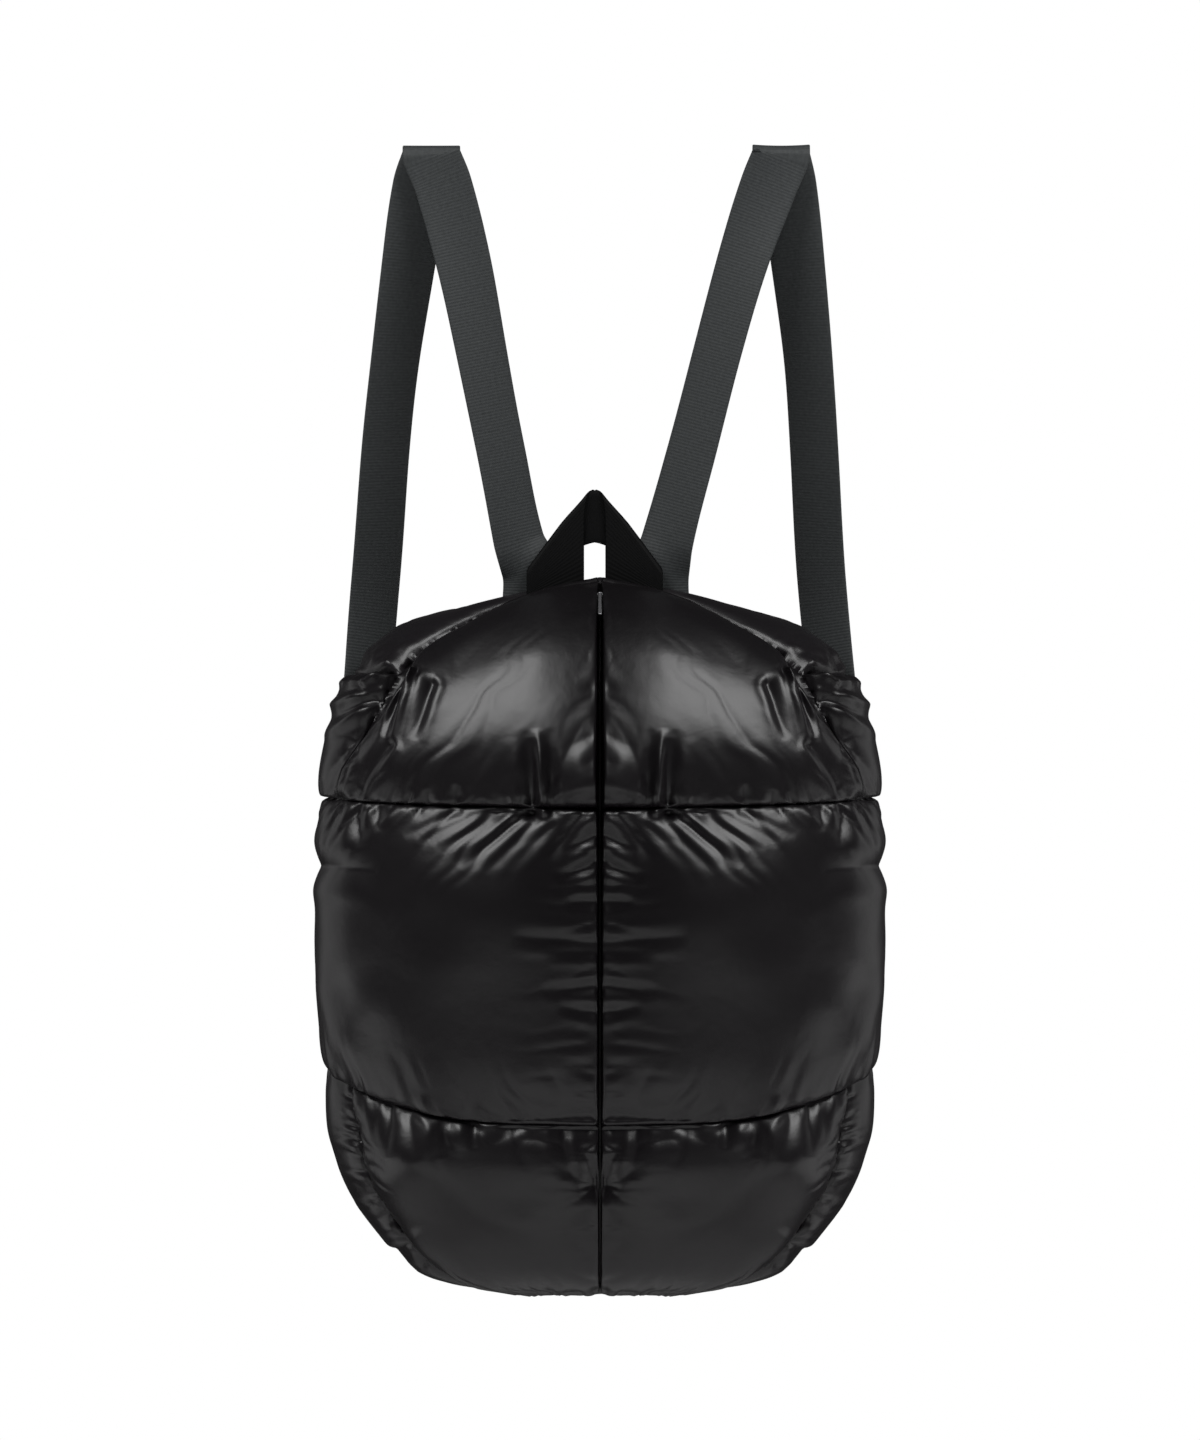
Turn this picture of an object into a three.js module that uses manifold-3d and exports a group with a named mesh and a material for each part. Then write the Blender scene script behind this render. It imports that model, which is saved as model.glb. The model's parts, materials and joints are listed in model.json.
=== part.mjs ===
// A quilted puffer backpack, hanging by its two shoulder straps from a rail.
// Millimetres, +Z up. The origin is on the rail's axis, midway between the straps.
// The front faces -Y, and +X is on the viewer's right.
import * as THREE from "three";
import { mergeVertices } from "three/addons/utils/BufferGeometryUtils.js";
import Module from "manifold-3d";

const wasm = await Module();
wasm.setup();

// Driving dimensions of the bag
const bagWidth = 376;
const bagDepth = 200;
const bagHeight = 474;
const railHeight = 754; // rail axis above the lowest point of the bag
const bagForward = 10; // bag's middle in front of the rail
const roundness = 2.4; // exponent of the plan outline, 2 is an ellipse

// Quilting
const frontCrown = 16;
const sideCrown = 9;
const backCrown = 10;
const topCrown = 9;
const baseCrown = 6;
const innerCrown = 4;
const seamThickness = 1.5;
const panelSag = 0.85; // power that lowers the fullest place of a panel
const edgeSpread = 0.4; // how much narrower cells are at the seams than the mean
const foldLimit = 0.7; // deepest that creases cut into the crown
const foldFade = 0.7; // share of its depth that a crease loses along its run
const seamGap = 0.4;
const creaseGap = 0.9; // where two panels meet at an angle

// Webbing
const webbingWidth = 38;
const webbingThickness = 1.6;
const railDiameter = 10;
const webbingClearance = 0.4;
const handleSpread = 58; // between the middles of the two handle legs
const handleLegRise = 1.5; // leg's outer edge above the bag's top edge, up to its fold
const handleFoldAngle = 54; // degrees from level
const handleFoldRadius = 1.7;
const handleSetBack = 2.2; // handle's front layer behind the top front edge
const strapSetBack = 12; // shoulder strap's end behind the same edge

// Zip
const zipWidth = 4.6;
const zipThickness = 1.6;
const zipClearance = 0.35;
const sliderLength = 7.5;
const sliderWidth = 3.8;
const sliderThickness = 1.2;
const sliderFromTop = 28; // slider's middle below the end of the zip
const bailHeight = 2.9;
const bailWire = 0.8;
const bailWidth = 1;
const bailOpening = 2.6;
const pullerLength = 21;
const pullerWidth = 3.6;
const pullerThickness = 1;
const pullerEye = 0.95; // radius of its hole
const pullerRim = 0.75; // metal round the hole

const halfWidth = bagWidth / 2;
const halfDepth = bagDepth / 2;
const halfTurn = 180;
const degrees = Math.PI / halfTurn;

// Plan sections of the seam surface, as shares of the height, half width and half depth
const sections = [
  { height: 0.017, width: 0.31, depth: 0.3, back: 0 },
  { height: 0.032, width: 0.51, depth: 0.5, back: 0 },
  { height: 0.065, width: 0.65, depth: 0.66, back: 0 },
  { height: 0.13, width: 0.79, depth: 0.77, back: 0 },
  { height: 0.21, width: 0.885, depth: 0.83, back: 0 },
  { height: 0.32, width: 0.934, depth: 0.855, back: 0 },
  { height: 0.44, width: 0.938, depth: 0.865, back: 0 },
  { height: 0.57, width: 0.94, depth: 0.86, back: 0 },
  { height: 0.698, width: 0.948, depth: 0.82, back: 0 },
  { height: 0.78, width: 0.915, depth: 0.76, back: 0.02 },
  { height: 0.833, width: 0.884, depth: 0.7, back: 0.04 },
  { height: 0.868, width: 0.86, depth: 0.62, back: 0.06 },
];
const baseHeight = sections[0].height;
const shoulderHeight = sections[sections.length - 1].height;

// Heights of the two level seams round the bag, by the angle from the front, in degrees
const seams = [
  { angle: 0, low: 0.245, high: 0.681 },
  { angle: 25, low: 0.251, high: 0.686 },
  { angle: 45, low: 0.272, high: 0.69 },
  { angle: 66, low: 0.3, high: 0.694 },
  { angle: 90, low: 0.329, high: 0.698 },
  { angle: 125, low: 0.316, high: 0.698 },
  { angle: 180, low: 0.316, high: 0.698 },
];

// Top edge of the front panels, from the zip to the gathered corner
const frontEdge = [
  { across: 0, height: 0.988, back: 0.05 },
  { across: 0.19, height: 0.977, back: 0.045 },
  { across: 0.33, height: 0.957, back: 0.03 },
  { across: 0.52, height: 0.921, back: -0.09 },
  { across: 0.63, height: 0.893, back: -0.22 },
];

// Top edge of the back panel, from its middle to its corner
const backEdge = [
  { across: 0, height: 0.95, back: 0.6 },
  { across: 0.4, height: 0.946, back: 0.585 },
  { across: 0.56, height: 0.932, back: 0.55 },
  { across: 0.67, height: 0.903, back: 0.5 },
];

// Line of the zip above the upper level seam
const zipRise = [
  { height: 0.79, back: -0.8 },
  { height: 0.885, back: -0.6 },
  { height: 0.953, back: -0.29 },
];

// Angles of the upright seams, in degrees from the front
const bottomSideSeam = 66;
const middleSideSeam = 105;
const topSideSeam = 71;
const cornerAngle = 51.5;
const backSeam = 125;

// Folds of the panels: each is a crease between two places on its panel, as shares of its width
// from the zip and of its height, with its width and depth as shares of the panel's crown.
const folds = {
  frontTop: [
    { across: 0.3, up: 0.02, toAcross: 0.33, toUp: 0.4, wide: 0.45, deep: 0.45 },
    { across: 0.46, up: 0, toAcross: 0.43, toUp: 0.22, wide: 0.4, deep: 0.35 },
    { across: 0.6, up: 0, toAcross: 0.56, toUp: 0.2, wide: 0.4, deep: 0.3 },
    { across: 0.92, up: 0.85, toAcross: 0.86, toUp: 0.4, wide: 0.5, deep: 0.45 },
    { across: 1, up: 0.35, toAcross: 0.84, toUp: 0.3, wide: 0.5, deep: 0.35 },
    { across: 0, up: 0.52, toAcross: 0.1, toUp: 0.55, wide: 0.4, deep: 0.4 },
    { across: 0, up: 0.75, toAcross: 0.13, toUp: 0.78, wide: 0.4, deep: 0.35 },
  ],
  frontMiddle: [
    { across: 0.06, up: 1, toAcross: 0.3, toUp: 0.8, wide: 0.4, deep: 0.45 },
    { across: 0.16, up: 1, toAcross: 0.4, toUp: 0.78, wide: 0.4, deep: 0.4 },
    { across: 0.27, up: 1, toAcross: 0.48, toUp: 0.82, wide: 0.4, deep: 0.35 },
    { across: 0, up: 0.42, toAcross: 0.19, toUp: 0.45, wide: 0.4, deep: 0.35 },
    { across: 0, up: 0.62, toAcross: 0.16, toUp: 0.66, wide: 0.4, deep: 0.35 },
    { across: 0, up: 0.22, toAcross: 0.11, toUp: 0.25, wide: 0.35, deep: 0.3 },
    { across: 1, up: 0.76, toAcross: 0.7, toUp: 0.72, wide: 0.55, deep: 0.4 },
  ],
  frontBottom: [
    { across: 0, up: 0.55, toAcross: 0.2, toUp: 0.75, wide: 0.45, deep: 0.4 },
    { across: 0, up: 0.4, toAcross: 0.16, toUp: 0.3, wide: 0.45, deep: 0.35 },
    { across: 0.17, up: 1, toAcross: 0.14, toUp: 0.7, wide: 0.4, deep: 0.35 },
    { across: 0.58, up: 1, toAcross: 0.62, toUp: 0.72, wide: 0.45, deep: 0.4 },
    { across: 1, up: 0.3, toAcross: 0.8, toUp: 0.24, wide: 0.5, deep: 0.45 },
  ],
  sideTop: [
    { across: 0.1, up: 1, toAcross: 0.35, toUp: 0.66, wide: 0.7, deep: 0.6 },
    { across: 0.45, up: 1, toAcross: 0.5, toUp: 0.62, wide: 0.6, deep: 0.5 },
    { across: 0, up: 0.2, toAcross: 0.3, toUp: 0.34, wide: 0.6, deep: 0.45 },
  ],
  sideBottom: [
    { across: 0, up: 0.35, toAcross: 0.45, toUp: 0.5, wide: 0.7, deep: 0.5 },
    { across: 0.4, up: 1, toAcross: 0.45, toUp: 0.75, wide: 0.6, deep: 0.4 },
  ],
  top: [
    { across: 0.12, up: 0, toAcross: 0.2, toUp: 0.5, wide: 0.7, deep: 0.45 },
    { across: 0.88, up: 0, toAcross: 0.8, toUp: 0.5, wide: 0.7, deep: 0.45 },
  ],
  back: [
    { across: 0.3, up: 1, toAcross: 0.34, toUp: 0.8, wide: 0.8, deep: 0.4 },
    { across: 0.7, up: 1, toAcross: 0.66, toUp: 0.8, wide: 0.8, deep: 0.4 },
    { across: 0.2, up: 0, toAcross: 0.25, toUp: 0.2, wide: 0.8, deep: 0.4 },
    { across: 0.8, up: 0, toAcross: 0.75, toUp: 0.2, wide: 0.8, deep: 0.4 },
  ],
};

// Shoulder straps above the bag, from the sewn end up over the rail and down behind.
// rise is a share of the height from the bag's top to the rail, across of the half width, back of
// the half depth behind the rail, and twist turns the band about its own length, in degrees.
const leftStrap = {
  front: [
    { rise: 0.015, across: 0.242, twist: 3 },
    { rise: 0.095, across: 0.285, twist: 28 },
    { rise: 0.31, across: 0.349, twist: 33 },
    { rise: 0.55, across: 0.42, twist: 28 },
    { rise: 0.76, across: 0.484, twist: 17 },
    { rise: 0.93, across: 0.55, twist: 5 },
  ],
  rail: 0.592,
  behind: [
    { rise: 0.93, across: 0.628, back: 0.015, twist: 8 },
    { rise: 0.73, across: 0.677, back: 0.09, twist: 22 },
    { rise: 0.52, across: 0.722, back: 0.2, twist: 33 },
    { rise: 0.3, across: 0.756, back: 0.33, twist: 34 },
    { rise: 0, across: 0.79, back: 0.47, twist: 33 },
  ],
};
const rightStrap = {
  front: [
    { rise: 0.015, across: 0.212, twist: 3 },
    { rise: 0.095, across: 0.238, twist: 25 },
    { rise: 0.31, across: 0.322, twist: 32 },
    { rise: 0.55, across: 0.417, twist: 33 },
    { rise: 0.76, across: 0.505, twist: 26 },
    { rise: 0.93, across: 0.593, twist: 8 },
  ],
  rail: 0.636,
  behind: [
    { rise: 0.93, across: 0.66, back: 0.015, twist: 8 },
    { rise: 0.73, across: 0.699, back: 0.09, twist: 22 },
    { rise: 0.52, across: 0.733, back: 0.2, twist: 33 },
    { rise: 0.3, across: 0.757, back: 0.33, twist: 34 },
    { rise: 0, across: 0.78, back: 0.47, twist: 33 },
  ],
};

// The straps' run down the back corner of the bag, to the seam that holds their lower ends.
// height is a share of the way from that seam up to the shoulder, and stand is how far the strap
// stands off the seam surface, as a share of the back panels' crown.
const strapAngle = 122;
const strapRun = [
  { height: 0.9, stand: 1.5 },
  { height: 0.7, stand: 1.4 },
  { height: 0.45, stand: 1.35 },
  { height: 0.2, stand: 1.35 },
  { height: 0.09, stand: 1.25 },
  { height: 0.02, stand: 0.6 },
];
const webbingStep = 14;

// Finishes
const nylon = new THREE.MeshStandardMaterial({ color: 0x1a181a, roughness: 0.38, metalness: 0 });
const band = new THREE.MeshStandardMaterial({ color: 0x2b2e2f, roughness: 0.7, metalness: 0 });
const coil = new THREE.MeshStandardMaterial({ color: 0x101010, roughness: 0.5, metalness: 0 });
const enamel = new THREE.MeshStandardMaterial({ color: 0x141416, roughness: 0.3, metalness: 0.6 });

const mix = THREE.MathUtils.lerp;

// Reads every column of a table at a value of its key column, on a smooth curve through the rows.
function read(table, key, at) {
  const last = table.length - 1;
  const row = (index) => table[THREE.MathUtils.clamp(index, 0, last)];
  let index = 0;
  while (index < last - 1 && at > table[index + 1][key]) index += 1;
  const [before, from, to, after] = [row(index - 1), row(index), row(index + 1), row(index + 2)];
  const span = to[key] - from[key];
  const share = THREE.MathUtils.clamp((at - from[key]) / span, 0, 1);
  const square = share * share;
  const cube = square * share;
  const values = {};
  for (const column of Object.keys(from)) {
    const startSlope = (to[column] - before[column]) / (to[key] - before[key]);
    const endSlope = (after[column] - from[column]) / (after[key] - from[key]);
    values[column] = (2 * cube - 3 * square + 1) * from[column]
      + (cube - 2 * square + share) * span * startSlope
      + (3 * square - 2 * cube) * to[column]
      + (cube - square) * span * endSlope;
  }
  return values;
}

// A point of the seam surface at an angle from the front, going round by the left side.
function onBag(angle, height) {
  const section = read(sections, "height", height);
  const power = 2 / roundness;
  const sine = Math.sin(angle * degrees);
  const cosine = Math.cos(angle * degrees);
  const across = Math.sign(sine) * Math.abs(sine) ** power * section.width * halfWidth;
  const back = Math.sign(cosine) * Math.abs(cosine) ** power * section.depth * halfDepth;
  return new THREE.Vector3(-across, section.back * halfDepth - back, height * bagHeight);
}

const seamAt = (angle) => read(seams, "angle", Math.min(angle, 2 * halfTurn - angle));

function edgePoints(table) {
  return table.map(({ across = 0, height, back }) => (
    new THREE.Vector3(-across * halfWidth, back * halfDepth, height * bagHeight)));
}

// Curves of the seams, each read from 0 to 1
const lowSeam = (from, to) => (share) => {
  const angle = mix(from, to, share);
  return onBag(angle, seamAt(angle).low);
};
const highSeam = (from, to) => (share) => {
  const angle = mix(from, to, share);
  return onBag(angle, seamAt(angle).high);
};
const baseSeam = (from, to) => (share) => onBag(mix(from, to, share), baseHeight);
const shoulderSeam = (from, to) => (share) => onBag(mix(from, to, share), shoulderHeight);
const gatheredSeam = (share) => {
  const start = seamAt(topSideSeam).high;
  return onBag(mix(topSideSeam, cornerAngle, share), mix(start, shoulderHeight, share));
};
const backCornerSeam = (share) => onBag(backSeam, mix(seamAt(backSeam).high, shoulderHeight, share));
const onCurve = (points) => {
  const curve = new THREE.CatmullRomCurve3(points);
  return (share) => curve.getPoint(share);
};
const frontEdgeCurve = onCurve([...edgePoints(frontEdge), shoulderSeam(cornerAngle, cornerAngle)(0)]);
const backEdgeCurve = onCurve([...edgePoints(backEdge), shoulderSeam(backSeam, backSeam)(0)]);
const zipTop = frontEdgeCurve(0);
const zipCurve = onCurve([highSeam(0, 0)(0), ...edgePoints(zipRise), zipTop]);

const flip = (curve) => (share) => curve(1 - share);
const mirrorPoint = (point) => new THREE.Vector3(-point.x, point.y, point.z);

// A curve from the right end of a left half curve, through the middle, to its left end
const wholeWidth = (half) => (share) => (
  share < 0.5 ? mirrorPoint(half(1 - 2 * share)) : half(2 * share - 1));

// The surface between four curves that meet at their ends
function between(lower, upper, first, second) {
  return (across, up) => {
    const point = new THREE.Vector3();
    point.addScaledVector(lower(across), 1 - up);
    point.addScaledVector(upper(across), up);
    point.addScaledVector(first(up), 1 - across);
    point.addScaledVector(second(up), across);
    point.addScaledVector(lower(0), -(1 - across) * (1 - up));
    point.addScaledVector(lower(1), -across * (1 - up));
    point.addScaledVector(upper(0), -(1 - across) * up);
    point.addScaledVector(upper(1), -across * up);
    return point;
  };
}

// The part of the seam surface between two angles and two level seams
function betweenSeams(from, to, lowest, highest) {
  return (across, up) => {
    const angle = mix(from, to, across);
    return onBag(angle, mix(lowest(angle), highest(angle), up));
  };
}

const surfaceStep = 0.004; // share of a surface over which its slope is measured

function outward(surface, across, up) {
  const step = surfaceStep;
  const ahead = (value) => Math.min(value + step, 1);
  const behind = (value) => Math.max(value - step, 0);
  const sideways = surface(ahead(across), up).sub(surface(behind(across), up));
  const upwards = surface(across, ahead(up)).sub(surface(across, behind(up)));
  return upwards.cross(sideways).normalize();
}

function lengthOf(curve) {
  const samples = 12;
  let length = 0;
  for (let index = 0; index < samples; index += 1) {
    length += curve((index + 1) / samples).distanceTo(curve(index / samples));
  }
  return length;
}

// A closed mesh with its faces turned outwards
function closedMesh(name, points, faces, material) {
  let volume = 0;
  for (const [a, b, c] of faces) {
    volume += points[a].dot(new THREE.Vector3().crossVectors(points[b], points[c]));
  }
  const turned = volume < 0 ? faces.map(([a, b, c]) => [a, c, b]) : faces;
  const geometry = new THREE.BufferGeometry().setFromPoints(points);
  geometry.setIndex(turned.flat());
  geometry.computeVertexNormals();
  const mesh = new THREE.Mesh(geometry, material);
  mesh.name = name;
  return mesh;
}

// Rises steeply from a seam and is nearly level in the middle
const swell = (share) => Math.sqrt(Math.max(0, 1 - Math.abs(2 * share - 1) ** 3));

function foldDepth(table, crown, size, across, up) {
  const place = new THREE.Vector2(across * size.x, up * size.y);
  let depth = 0;
  for (const fold of table) {
    const start = new THREE.Vector2(fold.across * size.x, fold.up * size.y);
    const run = new THREE.Vector2(fold.toAcross * size.x, fold.toUp * size.y).sub(start);
    const along = THREE.MathUtils.clamp(place.clone().sub(start).dot(run) / run.lengthSq(), 0, 1);
    const away = place.distanceTo(start.clone().addScaledVector(run, along));
    const fade = 1 - foldFade * along;
    depth += fold.deep * crown * fade * Math.exp(-((away / (fold.wide * crown)) ** 2));
  }
  return depth;
}

// A padded panel: a wall between the seams of a surface, swelling most on its outer side.
// Its gaps are the distances from its four edges to the seam lines.
function paddedPanel(name, surface, { crown, columns, rows, creases = [], gaps = {}, mirrored = false }) {
  const { first = seamGap / 2, last = seamGap / 2, below = seamGap / 2, above = seamGap / 2 } = gaps;
  const size = new THREE.Vector2(
    lengthOf((share) => surface(share, 0.5)), lengthOf((share) => surface(0.5, share)));
  const spread = (share) => share - edgeSpread * Math.sin(2 * Math.PI * share) / (2 * Math.PI);
  const inset = (share, near, far, length) => mix(near / length, 1 - far / length, share);
  const crownLimit = crown + seamThickness;
  const place = (column, row, inner) => {
    const across = spread(column / columns);
    const up = spread(row / rows);
    const width = lengthOf((share) => surface(share, up));
    const height = lengthOf((share) => surface(across, share));
    const s = inset(across, first, last, width);
    const t = inset(up, below, above, height);
    const swelling = swell(across) * swell(up ** panelSag);
    const outer = seamThickness + crown * swelling
      - Math.min(foldDepth(creases, crown, size, across, up), foldLimit * crown) * swelling;
    const offset = inner ? -innerCrown * swelling : Math.min(outer, crownLimit);
    const point = surface(s, t).addScaledVector(outward(surface, s, t), offset);
    return mirrored ? mirrorPoint(point) : point;
  };
  const points = [];
  const outerAt = (column, row) => row * (columns + 1) + column;
  for (let row = 0; row <= rows; row += 1) {
    for (let column = 0; column <= columns; column += 1) points.push(place(column, row, false));
  }
  const outerCount = points.length;
  const innerColumns = columns / 2;
  const innerAt = (column, row) => outerCount + (row / 2) * (innerColumns + 1) + column / 2;
  for (let row = 0; row <= rows; row += 2) {
    for (let column = 0; column <= columns; column += 2) points.push(place(column, row, true));
  }
  const faces = [];
  for (let row = 0; row < rows; row += 1) {
    for (let column = 0; column < columns; column += 1) {
      const corner = outerAt(column, row);
      const beside = outerAt(column + 1, row);
      const over = outerAt(column, row + 1);
      faces.push([corner, over, beside], [beside, over, outerAt(column + 1, row + 1)]);
    }
  }
  for (let row = 0; row < rows; row += 2) {
    for (let column = 0; column < columns; column += 2) {
      const corner = innerAt(column, row);
      const beside = innerAt(column + 2, row);
      const over = innerAt(column, row + 2);
      faces.push([corner, beside, over], [beside, innerAt(column + 2, row + 2), over]);
    }
  }
  const border = [];
  for (let column = 0; column < columns; column += 1) border.push([column, 0]);
  for (let row = 0; row < rows; row += 1) border.push([columns, row]);
  for (let column = columns; column > 0; column -= 1) border.push([column, rows]);
  for (let row = rows; row > 0; row -= 1) border.push([0, row]);
  for (let index = 0; index < border.length; index += 2) {
    const start = border[index];
    const middle = border[index + 1];
    const end = border[(index + 2) % border.length];
    faces.push([outerAt(...start), outerAt(...middle), innerAt(...start)]);
    faces.push([outerAt(...middle), innerAt(...end), innerAt(...start)]);
    faces.push([outerAt(...middle), outerAt(...end), innerAt(...end)]);
  }
  return closedMesh(name, points, faces, nylon);
}

// A band through stations that each hold the four corners of its section
function bandThrough(name, stations, material) {
  const points = stations.flat();
  const faces = [[0, 1, 2], [0, 2, 3]];
  for (let index = 0; index < stations.length - 1; index += 1) {
    for (let corner = 0; corner < 4; corner += 1) {
      const next = (corner + 1) % 4;
      const here = index * 4;
      const there = here + 4;
      faces.push([here + corner, there + corner, here + next]);
      faces.push([here + next, there + corner, there + next]);
    }
  }
  const end = (stations.length - 1) * 4;
  faces.push([end, end + 2, end + 1], [end, end + 3, end + 2]);
  return closedMesh(name, points, faces, material);
}

function sectionCorners(middle, sideways, through, width, thickness) {
  const side = sideways.clone().multiplyScalar(width / 2);
  const depth = through.clone().multiplyScalar(thickness / 2);
  return [
    middle.clone().sub(side).sub(depth),
    middle.clone().add(side).sub(depth),
    middle.clone().add(side).add(depth),
    middle.clone().sub(side).add(depth),
  ];
}

const leftAndRight = [
  { side: "left", mirrored: false },
  { side: "right", mirrored: true },
];
const lowOf = (angle) => seamAt(angle).low;
const highOf = (angle) => seamAt(angle).high;
const baseOf = () => baseHeight;
const zipGap = { first: zipWidth / 2 + zipClearance };
const creased = creaseGap / 2;

function frontPanels() {
  const topSurface = between(highSeam(0, topSideSeam), frontEdgeCurve, zipCurve, gatheredSeam);
  const middleSurface = betweenSeams(0, middleSideSeam, lowOf, highOf);
  const bottomSurface = betweenSeams(0, bottomSideSeam, baseOf, lowOf);
  return leftAndRight.flatMap(({ side, mirrored }) => [
    paddedPanel(`front_top_${side}`, topSurface, {
      crown: frontCrown, columns: 18, rows: 16, creases: folds.frontTop,
      gaps: { ...zipGap, above: creased }, mirrored }),
    paddedPanel(`front_middle_${side}`, middleSurface, {
      crown: frontCrown, columns: 22, rows: 16, creases: folds.frontMiddle, gaps: zipGap, mirrored }),
    paddedPanel(`front_bottom_${side}`, bottomSurface, {
      crown: frontCrown, columns: 18, rows: 12, creases: folds.frontBottom, gaps: zipGap, mirrored }),
  ]);
}

function sidePanels() {
  const topSurface = between(highSeam(topSideSeam, backSeam), shoulderSeam(cornerAngle, backSeam),
    gatheredSeam, backCornerSeam);
  const bottomSurface = betweenSeams(bottomSideSeam, backSeam, baseOf, lowOf);
  return leftAndRight.flatMap(({ side, mirrored }) => [
    paddedPanel(`side_top_${side}`, topSurface, {
      crown: sideCrown, columns: 12, rows: 10, creases: folds.sideTop,
      gaps: { above: creased, last: creased }, mirrored }),
    paddedPanel(`side_bottom_${side}`, bottomSurface, {
      crown: sideCrown, columns: 12, rows: 10, creases: folds.sideBottom, mirrored }),
  ]);
}

function backPanels() {
  const otherSeam = (angle) => 2 * halfTurn - angle;
  const rightCorner = (share) => mirrorPoint(backCornerSeam(share));
  const topSurface = between(highSeam(backSeam, otherSeam(backSeam)), flip(wholeWidth(backEdgeCurve)),
    backCornerSeam, rightCorner);
  const middleSurface = betweenSeams(middleSideSeam, otherSeam(middleSideSeam), lowOf, highOf);
  const bottomSurface = betweenSeams(backSeam, otherSeam(backSeam), baseOf, lowOf);
  const options = { crown: backCrown, creases: folds.back };
  return [
    paddedPanel("back_top", topSurface, {
      ...options, columns: 16, rows: 10, gaps: { first: creased, last: creased, above: creased } }),
    paddedPanel("back_middle", middleSurface, { ...options, columns: 18, rows: 12 }),
    paddedPanel("back_bottom", bottomSurface, { ...options, columns: 16, rows: 10 }),
  ];
}

function topPanel() {
  const leftEnd = shoulderSeam(cornerAngle, backSeam);
  const rightEnd = (share) => mirrorPoint(leftEnd(share));
  const surface = between(wholeWidth(frontEdgeCurve), wholeWidth(backEdgeCurve), rightEnd, leftEnd);
  return paddedPanel("top_panel", surface, {
    crown: topCrown, columns: 28, rows: 8, creases: folds.top,
    gaps: { first: creased, last: creased, below: creased, above: creased } });
}

function basePanel() {
  const turn = 60; // where the long edges of the oval meet its ends
  const front = baseSeam(-turn, turn);
  const back = baseSeam(halfTurn + turn, halfTurn - turn);
  const surface = between(back, front, baseSeam(-halfTurn + turn, -turn), baseSeam(halfTurn - turn, turn));
  return paddedPanel("base_panel", surface, { crown: baseCrown, columns: 10, rows: 6 });
}

// The middle line of the front, from the base seam to the zip's top, read from 0 to 1
const zipLine = (() => {
  const stations = 14;
  const points = [];
  for (let index = 0; index < stations; index += 1) {
    points.push(onBag(0, mix(baseHeight, highOf(0), index / stations)));
  }
  return new THREE.CatmullRomCurve3([...points, highSeam(0, 0)(0), ...edgePoints(zipRise), zipTop]);
})();
const zipLength = zipLine.getLength();
const sidewaysAxis = new THREE.Vector3(1, 0, 0);

function zipFrame(distanceFromTop) {
  const share = 1 - distanceFromTop / zipLength;
  const along = zipLine.getTangentAt(share);
  return {
    point: zipLine.getPointAt(share),
    along,
    out: new THREE.Vector3().crossVectors(sidewaysAxis, along),
  };
}

function zipChain() {
  const steps = 44;
  const lift = seamThickness - zipThickness / 2;
  const stations = [];
  for (let index = 0; index <= steps; index += 1) {
    const { point, out } = zipFrame(mix(zipLength - seamGap, seamGap, index / steps));
    const middle = point.addScaledVector(out, lift);
    stations.push(sectionCorners(middle, sidewaysAxis, out, zipWidth, zipThickness));
  }
  return bandThrough("zip_chain", stations, coil);
}

// Stands a small piece on the chain: its x runs across, its y up the zip and its z out of the bag.
function onZip(geometry) {
  const { point, along, out } = zipFrame(sliderFromTop);
  const frame = new THREE.Matrix4().makeBasis(sidewaysAxis, along, out);
  frame.setPosition(point.addScaledVector(out, seamThickness + zipClearance));
  return geometry.applyMatrix4(frame);
}

function asSolid(geometry) {
  for (const attribute of ["normal", "uv"]) geometry.deleteAttribute(attribute);
  const merged = mergeVertices(geometry);
  return new wasm.Manifold(new wasm.Mesh({
    numProp: 3,
    vertProperties: merged.attributes.position.array,
    triVerts: new Uint32Array(merged.index.array),
  }));
}

function fromSolid(solid) {
  const { vertProperties, triVerts } = solid.getMesh();
  const geometry = new THREE.BufferGeometry();
  geometry.setAttribute("position", new THREE.BufferAttribute(vertProperties, 3));
  geometry.setIndex(new THREE.BufferAttribute(triVerts, 1));
  return geometry;
}

function zipSlider() {
  const body = new THREE.BoxGeometry(sliderWidth, sliderLength, sliderThickness);
  body.translate(0, 0, sliderThickness / 2);
  const outer = bailOpening / 2 + bailWire;
  const inner = bailOpening / 2;
  const top = sliderThickness + bailHeight;
  const foot = sliderThickness / 2;
  const arch = new THREE.Shape();
  arch.moveTo(-outer, foot);
  arch.lineTo(-outer, top - bailWire);
  arch.lineTo(-inner, top);
  arch.lineTo(inner, top);
  arch.lineTo(outer, top - bailWire);
  arch.lineTo(outer, foot);
  arch.lineTo(inner, foot);
  arch.lineTo(inner, top - bailWire);
  arch.lineTo(-inner, top - bailWire);
  arch.lineTo(-inner, foot);
  const bail = new THREE.ExtrudeGeometry(arch, { depth: bailWidth, bevelEnabled: false });
  bail.translate(0, 0, -bailWidth / 2);
  const upright = new THREE.Matrix4().makeBasis(
    new THREE.Vector3(0, 1, 0), new THREE.Vector3(0, 0, 1), new THREE.Vector3(1, 0, 0));
  bail.applyMatrix4(upright);
  const mesh = new THREE.Mesh(onZip(fromSolid(asSolid(body).add(asSolid(bail)))), enamel);
  mesh.name = "zip_slider";
  return mesh;
}

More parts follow.
